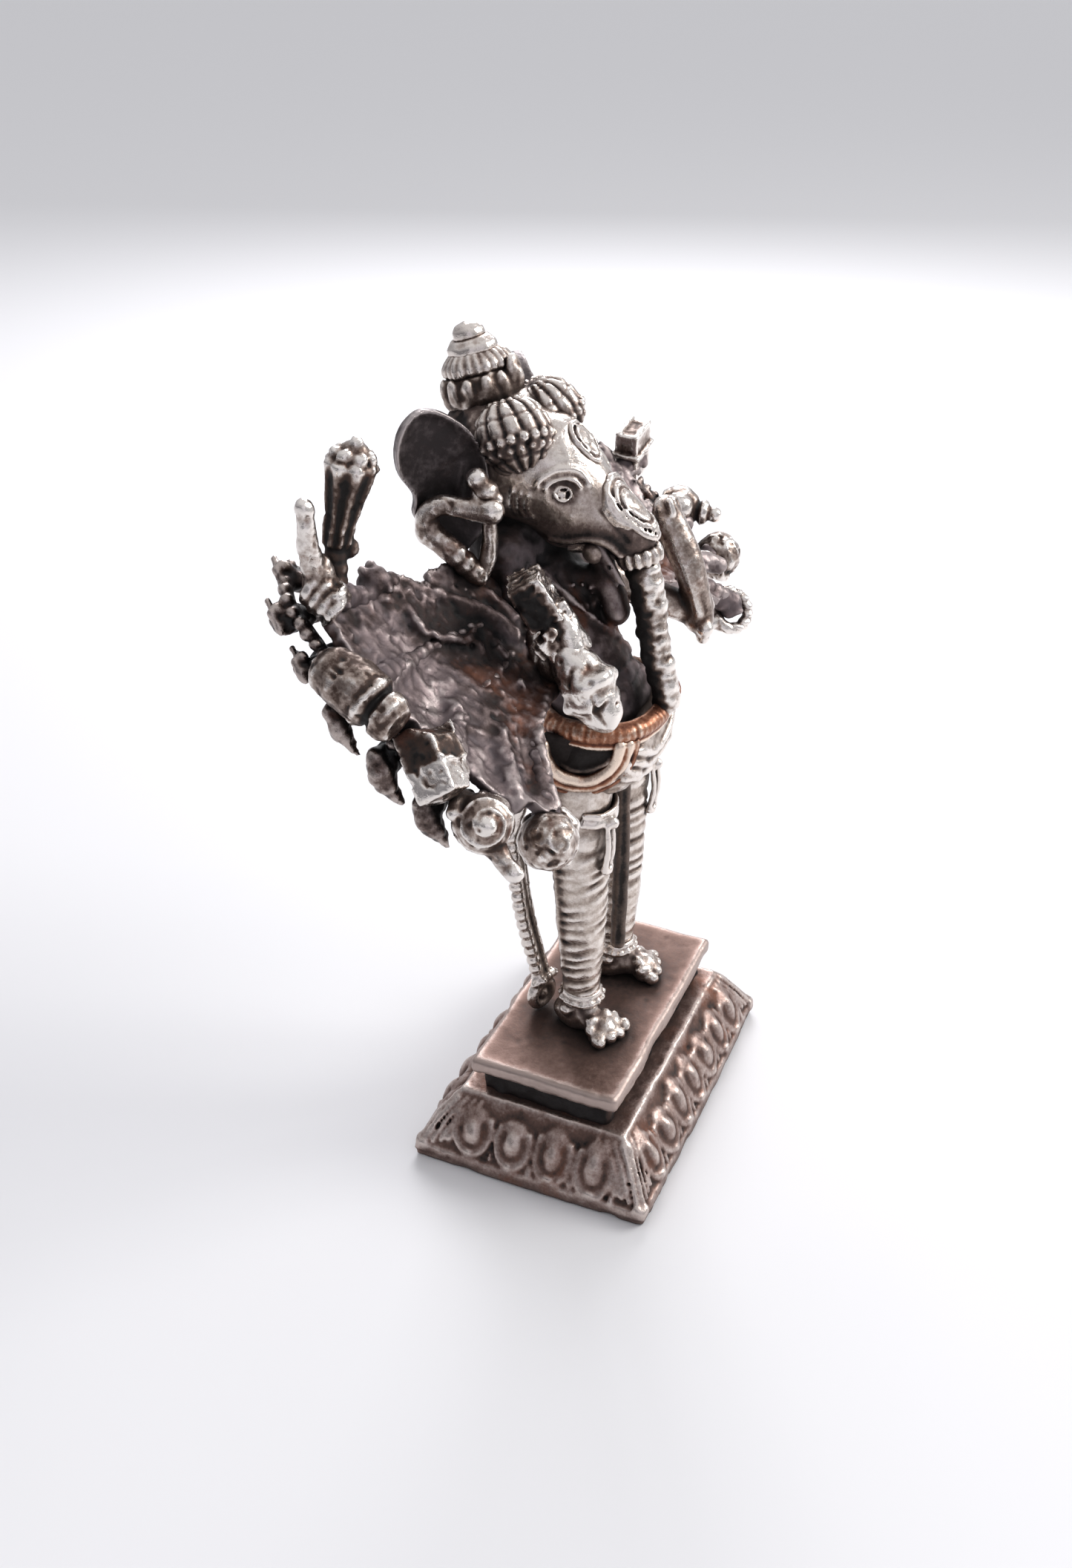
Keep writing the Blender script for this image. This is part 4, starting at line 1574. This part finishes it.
@dataclass
class FreeArms:
    """Arms that stand free of the fan: the two principal arms and the raised pair beside the head."""

    right_fist: Point = (-15.0, -3.6, 72.2)
    right_block: Point = (-15.0, 3.6, 83.2)
    left_fist: Point = (17.0, -6.2, 70.0)
    left_palm: Point = (16.0, -1.4, 82.6)
    raised_base: Point = (12.0, 12.2, 83.2)
    raised_elbow: Point = (14.0, 17.2, 91.0)
    raised_hand: Point = (12.0, 10.6, 91.0)

    def right_arm(self) -> None:
        """Forearm that ends in one long clenched fist, bright and lumpy, with a forked crease."""
        wax = Wax((-19.0, -8.0, 67.0), (-7.2, 7.8, 79.4), 0.2)
        fist = np.array(self.right_fist)
        wax.strand(((-9.4, 5.2, 76.4), (-12.6, 3.6, 74.2), fist + (0.6, 3.0, 1.8)), (2.0, 1.8), 0.6)
        wax.strand((fist + (0, 2.8, 4.2), fist + (-0.1, 0.6, 1.2), fist + (-0.2, -1.5, -1.9)), lambda s,
            share: 1.9 + 1.15 * np.sin(pi * np.clip(0.12 + 0.7 * share, 0, 1)), 0.5)
        for k in range(2):
            low = 2.6 * k
            wax.strand((fist + (0.9, -2.0 + 0.3 * k, 2.6 - low), fist + (-1.4, -1.9 + 0.2 * k, 3.0 - low),
                fist + (-2.8, -0.2 + 0.2 * k, 2.2 - low), fist + (-2.4, 1.8, 1.4 - low)), (0.95, 0.8), 1.1)
        wax.strand((fist + (-1.2, 1.0, 3.8), fist + (-2.6, 0.8, 2.9), fist + (-3.1, 0.2, 0.9)), (0.95, 0.7),
            0.25)
        for x, y, z, r in ((-0.9, 1.6, 4.6, 1.0), (-2.1, 2.0, 3.5, 0.85), (0.6, 0.8, 4.3, 0.8),
                (-2.6, -0.6, -0.8, 0.6), (-1.9, -2.2, 0.6, 0.55)):
            wax.ball(fist + (x, y, z), r, blend=0.3)
        fork = fist + (-2.9, -1.9, -0.6)
        for end in ((-2.2, -3.0, -2.6), (-3.2, -1.4, 1.4), (-1.7, -3.2, 0.9)):
            wax.groove((fork, fist + end), (0.42, 0.2), 0.25)
        wax.weather(121, (1.6, 0.16), (0.7, 0.07))
        wax.pit(0.8, 0.3, 123, 0.34)
        wax.tint(0.12)
        pour(wax, "principal_arm_right", HAND)

    def right_axe(self) -> None:
        """Blocky axe head with a scored flat face, its bar down to the fist, and broken nuggets under it."""
        wax = Wax((-21.0, -5.0, 73.4), (-8.6, 9.2, 89.0), 0.2)
        block, fist = np.array(self.right_block), np.array(self.right_fist)
        axes = turn("z", 24) @ turn("x", -30)
        wax.slab(block, (2.9, 2.1, 2.9), axes, 0.15)
        wax.slab(block + axes @ (3.2, -1.6, 2.4), (1.3, 1.4, 1.4), axes @ turn("y", 40), 0.1, 0.15,
            Join.CARVE)
        for k in range(4):
            for row in range(4):
                spot = block + axes @ (-2.0 + 1.3 * k + 0.5 * (row % 2), -2.2, 2.0 - 1.25 * row)
                wax.groove((spot, spot + axes @ (0.75, 0, 0.12)), 0.3, 0.2)
            top = block + axes @ (-2.1 + 1.35 * k, 0.0, 2.95)
            wax.groove((top + axes @ (0, 1.6, 0), top + axes @ (0.4, -1.6, 0)), 0.2, 0.2)
        wax.roughen(1.0, 0.16, 124)
        start, end = fist + (0, 2.2, 4.0), block + axes @ (0.4, -0.6, -2.6)
        wax.strand((start, (start + end) / 2 + (-0.1, -0.5, 0.5), end), (1.5, 1.9), 0.5)
        wax.slab((start + end) / 2 + (1.0, -0.7, 1.0), (0.9, 1.0, 3.4), axes, 0.3, 0.5)
        for off, r in (((-1.9, 1.0, -0.4), 1.05), ((-1.2, 1.9, -1.6), 0.95), ((-2.2, 0.6, 1.2), 0.8),
                ((-1.9, 0.0, -1.8), 0.7)):
            wax.slab((start + end) / 2 + off, (r, r, r), turn("z", 40 * r) @ turn("x", 50 * r), 0.15, 0.2)
        wax.roughen(0.6, 0.14, 125)
        wax.pit(0.7, 0.4, 126, 0.36)
        x, y, z = wax.all()
        side_on = (x - block[0]) * axes[0, 0] + (y - block[1]) * axes[1, 0] + (z - block[2]) * axes[2, 0]
        front_on = -(x - block[0]) * axes[0, 1] - (y - block[1]) * axes[1, 1] - (z - block[2]) * axes[2, 1]
        wax.tint(0.24 * rise(front_on - 0.4, 1.2) - 0.3 * rise(-side_on - 1.9, 0.8) * rise(z - 79, 2))
        pour(wax, "principal_axe_right", HAND)

    def left_arm(self) -> None:
        """Smooth raised forearm with folded edges, and its fist below."""
        wax = Wax((7.4, -9.6, 66.0), (20.2, 7.8, 86.6), 0.24)
        fist, palm = np.array(self.left_fist), np.array(self.left_palm)
        wax.strand(((9.4, 5.2, 76.4), fist + (0, 1.4, 0)), (2.2, 2.0), 0.6)
        mid = (fist + palm) / 2 + (-0.3, -0.3, 0)
        wax.strand((fist, mid + (-0.4, -0.9, 0), palm), (2.0, 2.3), 0.5, flat=((0.3, 0.9, 0.2), 0.9))
        for shift, r in (((-1.9, -0.8, 0.2), 0.5), ((1.6, -1.2, 0.4), 0.4)):
            wax.strand((fist + shift, mid + shift, palm + np.multiply(shift, 0.7)), r, 0.9)
        wax.ball(palm + (0.2, 0.4, 1.6), (2.1, 1.5, 1.4), blend=0.6)
        wax.ball(fist + (-0.3, -0.2, -1.0), (2.1, 1.9, 1.9), blend=0.5)
        wax.ball(fist + (-1.6, -1.5, -1.6), 1.2, blend=0.4)
        wax.ball(fist + (-1.4, -1.2, -3.0), 0.9, blend=0.4)
        for k in range(3):
            wax.strand((palm + (-1.2 + 1.1 * k, -1.1, 1.2), palm + (-1.2 + 1.1 * k, -0.6, 2.7)), 0.6, 0.2)
        wax.weather(127, (2.4, 0.12), (0.8, 0.05))
        pour(wax, "principal_arm_left", HAND)

    def raised(self, side: Side) -> None:
        """Raised arm with bangles up to a rounded elbow and a smooth forearm back to the head.

        Args:
            side: The side it is on.
        """
        wax = Wax((9.2, 7.8, 81.2), (16.8, 19.6, 94.2), 0.2, placed(side))
        base, elbow, hand = (np.array(p) for p in (self.raised_base, self.raised_elbow, self.raised_hand))
        upper = (base, base + 0.45 * (elbow - base) + (0.7, 0.3, -0.3), elbow + (0.2, 0.2, -2.4))
        wax.strand(upper, rings(1.35, 0.1, 1.5, 0.26), 0.25)
        wax.strand((elbow + (0.2, 0.2, -2.4), elbow + (0.2, 0.3, -0.4), elbow + (-0.3, -1.3, 0.9),
            (elbow + hand) / 2 + (0, -0.3, 0.6), hand + (0, 0, 0.4)), lambda s, share: 1.55 - 0.35
            * np.sin(pi * share), 0.3)
        wax.ball(hand + (0.1, -0.1, 0.5), (1.5, 1.6, 1.35), blend=0.4)
        wax.strand((hand + (0.2, 1.2, 1.4), hand + (-0.3, 1.7, 2.5), hand + (-0.8, 0.6, 2.6)), (0.85, 0.6),
            0.3)
        wax.weather(129, (1.6, 0.1), (0.7, 0.05))
        wax.pit(0.8, 0.2, 131, 0.5)
        x, y, z = wax.all()
        wax.bloom(-0.9 * rise(90.5 - z, 3))
        pour(wax, f"raised_arm_{side.word}", HAND)

    def stem(self, side: Side) -> None:
        """Stem that bows from the plate up to the hand, with a bud above it.

        Args:
            side: The side it is on.
        """
        wax = Wax((8.4, 8.4, 82.4), (14.8, 15.4, 97.4), 0.2, placed(side))
        wax.strand(((11.6, 11.9, 83.2), (11.3, 11.2, 85.6), (11.3, 10.9, 88.4), (11.5, 11.0, 91.0)),
            (1.1, 0.9), 0.3)
        wax.ball((11.5, 11.3, 93.6), (1.5, 1.4, 1.4), blend=0.5)
        wax.ball((11.9, 12.3, 95.0), (1.35, 1.3, 1.2), blend=0.5)
        wax.ball((11.1, 10.3, 92.6), (1.0, 0.9, 0.8), blend=0.4)
        wax.roughen(1.2, 0.12, 131)
        wax.tint(-0.05)
        wax.bloom(-0.6)
        pour(wax, f"raised_stem_{side.word}", HAND)

    def build(self) -> None:
        """Builds the free arms."""
        self.right_arm()
        self.right_axe()
        self.left_arm()
        for side in Side:
            self.raised(side)
            self.stem(side)


@dataclass
class Head:
    """Elephant's head with cupped ears, netted domes, leaf ornaments and a ringed trunk."""

    skull: Point = (0.0, 14.2, 94.0)
    skull_r: float = 8.1
    brow: Point = (0.0, 9.2, 93.0)
    brow_r: float = 6.6
    jaw: Point = (0.0, 5.4, 88.6)
    jaw_r: float = 4.6
    snout: Point = (0.0, -2.4, 86.2)
    snout_r: float = 2.8
    eye: Point = (5.5, 4.2, 92.1)
    eye_out: Point = (0.72, -0.5, 0.48)
    ear_root: Point = (7.2, 13.4, 92.0)
    ear_turn: float = 43.0
    cap: Point = (4.6, 10.9, 98.0)
    cap_r: float = 4.35
    band: Point = (0.0, -3.6, 84.0)
    trunk_ring: float = 1.55
    trunk_line: tuple[Point, ...] = ((0, -4.2, 82), (0, -5.2, 77.6), (0, -6.1, 72.4), (0, -7.4, 67.8),
        (0, -8.1, 64.9))

    def block(self, wax: Wax) -> None:
        """Gathers the plain form of the head.

        Args:
            wax: The block that takes it.
        """
        wax.strand((self.skull, self.brow), (self.skull_r, self.brow_r), 0.8)
        wax.strand((self.brow, self.snout), (self.brow_r, self.snout_r), 1.2)
        wax.strand((self.skull, self.jaw), (self.skull_r - 1.2, self.jaw_r), 1.2)
        wax.strand((self.jaw, self.snout), (self.jaw_r, self.snout_r - 0.2), 1.5)

    def face(self) -> None:
        """Head with eyes, brow lines, cheeks and lips, and rough hair behind."""
        wax = Wax((-8.6, -5.8, 82.0), (8.6, 22.6, 102.4), 0.25)
        self.block(wax)
        for side in Side:
            out = unit(side.at(self.eye_out))
            eye = wax.seat([side.at(self.eye)])[0]
            own = frame_of(out, (0, 0, 1))
            wax.ball(eye + out * 1.1, 1.7, blend=0.9, join=Join.CARVE)
            wax.ball(eye - out * 0.35, (0.6, 0.5, 0.5), own, 0.2)
            ring = [eye + out * 0.0 + own @ (1.0 * co, 0.84 * si, 0) for co, si in compass(12)]
            wax.strand(ring, 0.19, 0.4, closed=True, steps=3)
            for radius, thick in ((2.05, 0.26), (3.0, 0.36)):
                arc = wax.seat([eye + own @ (radius * 1.1 * cos(a), radius * sin(a), 0)
                    for a in np.linspace(radians(18), radians(158), 9)], 0.05)
                wax.strand(arc, thick, 0.3, steps=4)
                groove = wax.seat([eye + own @ ((radius - 0.5) * 1.1 * cos(a), (radius - 0.5) * sin(a), 0)
                    for a in np.linspace(radians(25), radians(150), 9)])
                wax.groove(groove, 0.15, 0.2, steps=4)
            lip = wax.seat([side.at(p) for p in ((5.9, 6.4, 84.9), (4.8, 3.8, 85.4), (4.2, 1.6, 86.4),
                (3.6, -0.6, 86.2), (3.0, -2.2, 84.6))], 0.1)
            wax.strand(lip, (0.35, 0.6), 0.35)
            wax.groove([p + (0, 0, -1.2) for p in lip[:3]], 0.6, 0.4)
            for k in range(3):
                fold = wax.seat([side.at((7.4, 9.8 - 1.0 * k + 0.5 * cos(t), 89.8 + (2.6 - 0.3 * k) * sin(t)))
                    for t in np.linspace(-1.2, 1.2, 6)], 0.0)
                wax.strand(fold, 0.22, 0.4)
            cheek = wax.seat([side.at(p) for p in ((4.2, -0.4, 90.4), (3.6, -1.6, 88.6), (3.0, -3.2, 86.6))],
                0.0)
            wax.groove(cheek, 0.22, 0.35)
        x, y, z = wax.all()
        hair = rise(y - 12.0 - 0.25 * (z - 92), 2.4)
        wax.roughen(1.5, 0.3, 141, hair)
        wax.roughen(0.8, 0.2, 142, hair)
        wax.weather(143, (3.2, 0.16), (0.9, 0.05))
        under = rise(89.3 - 0.1 * y - z, 2.6)
        wax.tint(-0.26 * hair + (0.1 * rise(z - 91.5, 3) - 0.24 * under) * (1 - hair))
        wax.bloom(0.7 * hair - 0.7 * under * (1 - hair))
        pour(wax, "head", WORN)

    def ear(self, side: Side) -> None:
        """Thin cupped ear with a rolled rim and a notch.

        Args:
            side: The side it is on.
        """
        angle = radians(self.ear_turn)
        axes = np.array(((cos(angle), 0, sin(angle)), (sin(angle), 0, -cos(angle)), (0, 1, 0)), float)
        wax = Wax((-0.8, -9.2, -1.4), (12.2, 11.6, 1.9), 0.22, placed(side, self.ear_root, axes))
        x, y, z = wax.all()
        leaf = [(x0, y0) for x0, y0 in spline(((0, -3), (2.6, -6.6), (5, -8.2), (7.4, -4.8), (9.4, -1.6),
            (9.3, 0.6), (11.0, 3.2), (11.4, 6.4), (10.2, 9.4), (7.8, 10.8), (4.4, 9.6), (1.4, 6.8), (0, 3.4)),
            4, True)[:-1]]
        edge = outline_distance(x, y, leaf)
        cup = -0.35 + 1.1 * np.exp(np.minimum(edge, 0) / 1.1) + 0.25 * np.cos(0.55 * x)
        sheet = np.abs(z - cup) - 0.48
        gap_in, gap_out = np.maximum(sheet, 0), np.maximum(edge + 0.4, 0)
        body = np.minimum(np.maximum(sheet, edge + 0.4), 0) + np.sqrt(gap_in**2 + gap_out**2) - 0.25
        wax.fill(body, 0.3)
        for x0 in (0.9, 2.2):
            wax.strand(((x0, -3.6, 0.1), (x0 + 1.2, 0, 0.2), (x0 + 0.6, 3.6, 0.2)), 0.45, 0.7)
        wax.weather(151, (3.0, 0.16), (0.9, 0.04))
        pour(wax, f"ear_{side.word}", EAR)

    def trunk(self) -> None:
        """Ringed trunk that hangs down to the belt, its front worn bright and its back left dark."""
        wax = Wax((-2.9, -10.6, 62.8), (2.9, -1.2, 83.8), 0.2)

        def size(s: np.ndarray, share: np.ndarray) -> np.ndarray:
            """Taper with deep rings that break into knuckles."""
            rolled = np.abs(np.sin(pi * s / self.trunk_ring))**0.7
            return 1.5 - 0.4 * share + 0.72 * rolled * (1 + 0.12 * np.sin(2.3 * s))
        wax.strand(self.trunk_line, size, slant=(0, 0.35, 0), steps=8)
        wax.weather(153, (1.3, 0.16), (0.6, 0.06))
        x, y, z = wax.all()
        spine = np.interp(z, [p[2] for p in reversed(self.trunk_line)],
            [p[1] for p in reversed(self.trunk_line)])
        wax.tint((0.08 - 0.42 * rise(y - spine + 0.9, 1.3)))
        pour(wax, "trunk", TRUNK)

    def trunk_band(self) -> None:
        """Segmented ring where the trunk starts."""
        wax = Wax((-3.6, -7.4, 81.2), (3.6, 0.2, 86.6), 0.2)
        axis = unit((0, 0.7, 2.4))
        own = frame_of(axis)
        base = np.add(self.band, (0, -0.3, -1))
        wax.turned(base, axis, ((0, 0), (2.3, 0.0), (2.55, 0.4), (2.5, 1.5), (2.2, 1.9), (0, 2.0)))
        for k in range(13):
            a = k * tau / 13
            mid = base + own @ (2.35 * cos(a), 2.35 * sin(a), 0.95)
            cell = np.column_stack((own @ (cos(a), sin(a), 0), own @ (-sin(a), cos(a), 0), axis))
            wax.ball(mid, (0.62, 0.62, 1.15), cell, 0.12)
        wax.roughen(0.7, 0.08, 155)
        pour(wax, "trunk_band", WORN)

    def mouth(self) -> None:
        """Broken tusk and the small sweet in the corner of the mouth."""
        wax = Wax((-4.6, -4.0, 79.6), (-1.2, 2.0, 86.2), 0.18)
        wax.strand(((-2.8, 0.6, 85.0), (-2.95, -1.0, 82.8), (-3.0, -2.5, 80.8)), (1.15, 0.75),
            flat=((0.85, -0.3, 0.4), 0.6))
        wax.slab((-3.0, -3.0, 80.2), (1.6, 1.2, 0.7), turn("x", 24), 0.1, 0.1, Join.CARVE)
        wax.groove(((-3.9, -0.4, 83.4), (-2.9, -1.6, 82.9)), 0.2, 0.15)
        wax.roughen(1.4, 0.1, 156)
        pour(wax, "tusk", DARK)
        wax = Wax((-4.8, -0.8, 82.8), (-1.0, 3.2, 86.4), 0.18)
        wax.ball((-2.9, 1.2, 84.6), 1.42)
        for k in range(3):
            wax.groove([(-2.9 - 0.6 * k + 0.35 * k * k, 1.2 + 1.45 * co, 84.6 + 1.45 * si) for co,
                si in compass(10)], 0.14, 0.12, closed=True, steps=3)
        wax.roughen(0.8, 0.12, 157)
        wax.tint(-0.18)
        pour(wax, "mouth_sweet", WORN)

    def dome(self, side: Side) -> None:
        """Netted dome: broad curved ridges from its crown, thin cross grooves, and a beaded hem.

        Args:
            side: The side it is on.
        """
        c = np.array(self.cap)
        wax = Wax(c - 5.6, c + 5.6, 0.2, placed(side))
        x, y, z = (axis - c[k] for k, axis in enumerate(wax.all()))
        own = frame_of((-0.25, 0.42, 0.87), (0, -1, 0))
        q = [x * own[0, k] + y * own[1, k] + z * own[2, k] for k in range(3)]
        reach = np.sqrt(q[0]**2 + q[1]**2 + q[2]**2)
        tilt = np.arccos(np.clip(q[2] / np.maximum(reach, 0.1), -1, 1))
        round_ = np.arctan2(q[1], q[0])
        ridge = np.abs(np.cos(6.5 * round_ + 0.8 * tilt))**0.45
        rows = np.clip(np.abs(np.sin(tilt * 5.6)) * 2.6, 0, 1)
        net = ridge * (0.62 + 0.38 * rows)
        body = reach - self.cap_r + 0.35 - 0.72 * net * np.clip(tilt / 0.4, 0, 1)
        wax.fill(body.astype(np.float32), 0.2)
        for lean, size in ((1.75, 0.66), (2.02, 0.5)):
            hem = [c + (self.cap_r + 0.1) * (own @ (sin(lean) * co, sin(lean) * si, cos(lean))) for co,
                si in compass(24)]
            wax.pellets(hem, 1.35, size, 0.15, closed=True)
        wax.weather(158, (1.3, 0.12), (0.6, 0.06))
        wax.field = np.maximum(wax.field, 0.05 - wax.all()[0])
        wax.tint((-0.16 * rise(tilt - 1.2, 0.8)))
        pour(wax, f"cap_{side.word}", WORN)

    def leaf(self, node: str, top: Point, tip: Point, width: float, layers: int, seed: int) -> None:
        """Leaf-shaped ornament that lies on the front of the head.

        Args:
            node: The CAD node that it stands for.
            top: Its upper end, near the surface.
            tip: Its lower end.
            width: Its greatest width.
            layers: How many raised lines run round it.
            seed: Which unevenness it has.
        """
        top, tip = np.array(top), np.array(tip)
        mid = (top + tip) / 2
        reach = max(width, float(np.linalg.norm(top - tip))) / 2 + 1.8
        wax = Wax(mid - reach, mid + reach, 0.18)
        self.block(wax)
        long_way = unit(tip - top)
        half = float(np.linalg.norm(tip - top)) / 2
        normal = unit(np.cross((1, 0, 0), long_way))
        normal = normal if normal[2] > 0 else -normal
        head = wax.field.copy()
        shares = [1 - layer * 0.3 for layer in range(layers + 1)]
        loops = []
        for share in shares:
            flat = [mid + long_way * half * share * -co + np.array((1, 0, 0)) * width / 2 * share * si
                * (1 + 0.22 * co) + normal * 0.5 for co, si in compass(20)]
            loops.append(wax.seat(flat, 0.12))
        x, y, z = wax.all()
        along = ((x - mid[0]) * long_way[0] + (y - mid[1]) * long_way[1] + (z - mid[2]) * long_way[2]) / half
        across = (x - mid[0]) / (width / 2) / np.maximum(1 - 0.22 * along, 0.3)
        round_ = np.sqrt(along**2 + across**2)
        wax.field = np.maximum(np.abs(head) - 0.42, (round_ - 1) * min(half, width / 2)
            * 0.9).astype(np.float32)
        for layer, loop in enumerate(loops):
            wax.strand(loop, 0.4 - 0.05 * layer, 0.25, closed=True, steps=3)
        for loop in loops[:-1]:
            wax.groove([mid + 0.86 * (p - mid) + normal * 0.3 for p in loop], 0.18, 0.15, closed=True,
                steps=3)
        wax.roughen(0.8, 0.1, seed)
        wax.pit(0.7, 0.16, seed + 1, 0.3)
        pour(wax, node, WORN)

    def build(self) -> None:
        """Builds the head and everything on it."""
        self.face()
        self.trunk()
        self.trunk_band()
        self.mouth()
        for side in Side:
            self.ear(side)
            self.dome(side)
        self.leaf("forehead_jewel", (0, 5.8, 98.5), (0, 2.0, 94.8), 3.6, 1, 161)
        self.leaf("trunk_jewel", (0, 0.6, 93.0), (0, -5.0, 86.2), 6.4, 2, 164)


@dataclass
class Crown:
    """Four-tiered crown that leans back on the head."""

    at: Point = (0.0, 17.0, 101.4)
    lean: float = -16.0
    radius: float = 4.5

    def start(self, low: float, high: float, reach: float) -> Wax:
        """An empty block round the crown's axis between two heights."""
        place = placed(Side.LEFT, self.at, turn("x", self.lean))
        return Wax((-reach, -reach, low), (reach, reach, high), 0.2, place)

    def leaves(self) -> None:
        """Lowest tier, with upright leaves and a drop-shaped leaf that hugs its front."""
        wax = self.start(-1.6, 5.0, self.radius + 1.6)
        wax.turned((0, 0, -1.2), (0, 0, 1), ((0, 0), (4.5, 0), (4.8, 1.0), (4.6, 2.4), (4.0, 3.5), (0, 3.9)),
            0.5, ribs=16, depth=0.08)
        for k in range(13):
            a = radians(90 + 360 / 13 * (k + 0.5))
            spot = np.array((cos(a), sin(a), 0))
            cell = np.column_stack((spot, np.cross((0, 0, 1), spot), unit(spot * -0.16 + (0, 0, 1))))
            wax.ball(spot * (self.radius - 0.1) + (0, 0, 0.6), (0.7, 0.85, 1.7), cell, 0.25)
        cell = turn("x", 12)
        wax.ball((0, -4.5, 1.2), (1.5, 0.9, 2.5), cell, 0.3)
        wax.ball((0.1, -5.1, 0.8), (0.8, 0.6, 1.4), cell, 0.2)
        wax.weather(171, (1.2, 0.14), (0.6, 0.07))
        pour(wax, "crown_leaf_tier", CROWN)

    def ribbed(self) -> None:
        """Swollen tier with soft upright ribs round its lower edge."""
        wax = self.start(1.6, 5.4, self.radius + 0.5)
        wax.turned((0, 0, 2.1), (0, 0, 1), ((0, 0), (3.6, 0), (4.15, 0.5), (4.2, 1.2), (3.7, 2.0), (2.9, 2.7),
            (0, 3.0)), 0.5, ribs=24, depth=0.13)
        wax.roughen(1.6, 0.16, 173)
        wax.roughen(0.7, 0.06, 176)
        pour(wax, "crown_ribbed_tier", WORN)

    def ring(self) -> None:
        """Plain swollen whorl."""
        wax = self.start(3.9, 6.9, 3.6)
        wax.turned((0, 0, 4.2), (0, 0, 1), ((0, 0), (2.5, 0), (3.05, 0.6), (3.0, 1.3), (2.3, 2.1), (0, 2.5)),
            0.4, ribs=9, depth=0.05)
        wax.roughen(1.4, 0.14, 174)
        pour(wax, "crown_ring", WORN)

    def finial(self) -> None:
        """Rounded knob on top."""
        wax = self.start(5.8, 8.5, 2.5)
        wax.turned((0, 0, 5.9), (0, 0, 1), ((0, 0), (1.6, 0), (1.95, 0.6), (1.85, 1.3), (1.3, 2.0), (0, 2.4)),
            0.4)
        wax.roughen(1.3, 0.12, 175)
        pour(wax, "crown_finial", WORN)

    def build(self) -> None:
        """Builds the four tiers."""
        self.leaves()
        self.ribbed()
        self.ring()
        self.finial()


@dataclass
class Studio:
    """Pale table, soft light and the camera."""

    eye: Point = (-165.28, -61.78, 156.47)
    yaw: float = 0.40844
    pitch: float = 0.53983
    roll: float = 0.00786
    lens: float = 35.77
    table: float = 6000.0
    ceiling: str = "#f4f4f7"
    dim_wall: str = "#8b8a8f"

    def camera(self) -> None:
        """Camera that looks down on the figure from its right."""
        forward = np.array((cos(self.yaw) * cos(self.pitch), sin(self.yaw) * cos(self.pitch),
            -sin(self.pitch)))
        right = np.array((sin(self.yaw), -cos(self.yaw), 0.0))
        up = np.cross(right, forward)
        c, s = cos(self.roll), sin(self.roll)
        right, up = c * right + s * up, c * up - s * right
        data = bpy.data.cameras.new("camera")
        data.lens = self.lens
        data.sensor_width = 36.0
        data.clip_start = 0.005
        data.clip_end = 20.0
        camera = bpy.data.objects.new("camera", data)
        axes = np.column_stack((right, up, -forward))
        camera.matrix_world = Matrix.Translation(Vector(self.eye) * MM) @ Matrix(axes.tolist()).to_4x4()
        bpy.context.collection.objects.link(camera)
        bpy.context.scene.camera = camera

    def floor(self) -> None:
        """White matt table top."""
        mesh = bpy.data.meshes.new("table_top")
        r = self.table / 2 * MM
        mesh.from_pydata([(-r, -r, 0), (r, -r, 0), (r, r, 0), (-r, r, 0)], [], [(0, 1, 2, 3)])
        floor = bpy.data.objects.new("table_top", mesh)
        bpy.context.collection.objects.link(floor)
        paint = bpy.data.materials.new("white_laminate")
        paint.use_nodes = True
        shader = paint.node_tree.nodes["Principled BSDF"]
        shader.inputs["Base Color"].default_value = linear("#e9e9eb")
        shader.inputs["Roughness"].default_value = 0.55
        mesh.materials.append(paint)

    def lamp(self, name: str, spot: Point, size: float, watts: float, colour: str = "#ffffff",
            aim: Point = (0, 0, 60)) -> None:
        """Soft square lamp.

        Args:
            name: The lamp's name.
            spot: Where it stands, in millimetres.
            size: Its side in millimetres.
            watts: Its power.
            colour: Its sRGB colour.
            aim: What it points at.
        """
        data = bpy.data.lights.new(name, "AREA")
        data.size = size * MM
        data.energy = watts
        data.color = linear(colour)[:3]
        lamp = bpy.data.objects.new(name, data)
        lamp.location = Vector(spot) * MM
        lamp.rotation_euler = (Vector(aim) - Vector(spot)).to_track_quat("-Z", "Y").to_euler()
        bpy.context.collection.objects.link(lamp)

    def build(self) -> None:
        """Sets the camera, the table, the lamps and the room's own light."""
        self.camera()
        self.floor()
        self.lamp("window", (300, -430, 400), 300, 2.1, "#fffdfa")
        self.lamp("back_light", (420, 160, 330), 260, 1.5, "#fdfcff")
        self.lamp("fill", (-420, -260, 240), 420, 0.2, "#f6f4ff")
        world = bpy.data.worlds.new("room")
        world.use_nodes = True
        tree = world.node_tree
        toward = add_node(tree, "VectorMath", {0: add_node(tree, "TexCoord").outputs["Generated"],
            1: (0.42, -0.12, 0.9)}, operation="DOT_PRODUCT").outputs["Value"]
        share = add_node(tree, "MapRange", {"Value": toward, "From Min": -0.15, "From Max": 0.75})
        sky = add_node(tree, "Mix", {"Factor": share.outputs["Result"], 6: linear(self.dim_wall),
            7: linear(self.ceiling)}, data_type="RGBA")
        tree.links.new(sky.outputs[2], tree.nodes["Background"].inputs["Color"])
        tree.nodes["Background"].inputs["Strength"].default_value = 0.86
        bpy.context.scene.world = world
        bpy.context.scene.view_settings.view_transform = "Standard"


def main() -> None:
    """Builds the table and the figure from the ground up and writes how big it came out."""
    Studio().build()
    Plinth().build()
    for side in Side:
        Leg(side).build()
    HipDress().build()
    Torso().build()
    fans = {side: Fan(side) for side in Side}
    for fan in fans.values():
        fan.build()
    Attributes(fans[Side.RIGHT], fans[Side.LEFT]).build()
    FreeArms().build()
    Head().build()
    Crown().build()


if __name__ == "__main__":
    logging.basicConfig(level=logging.INFO, format="%(message)s")
    main()
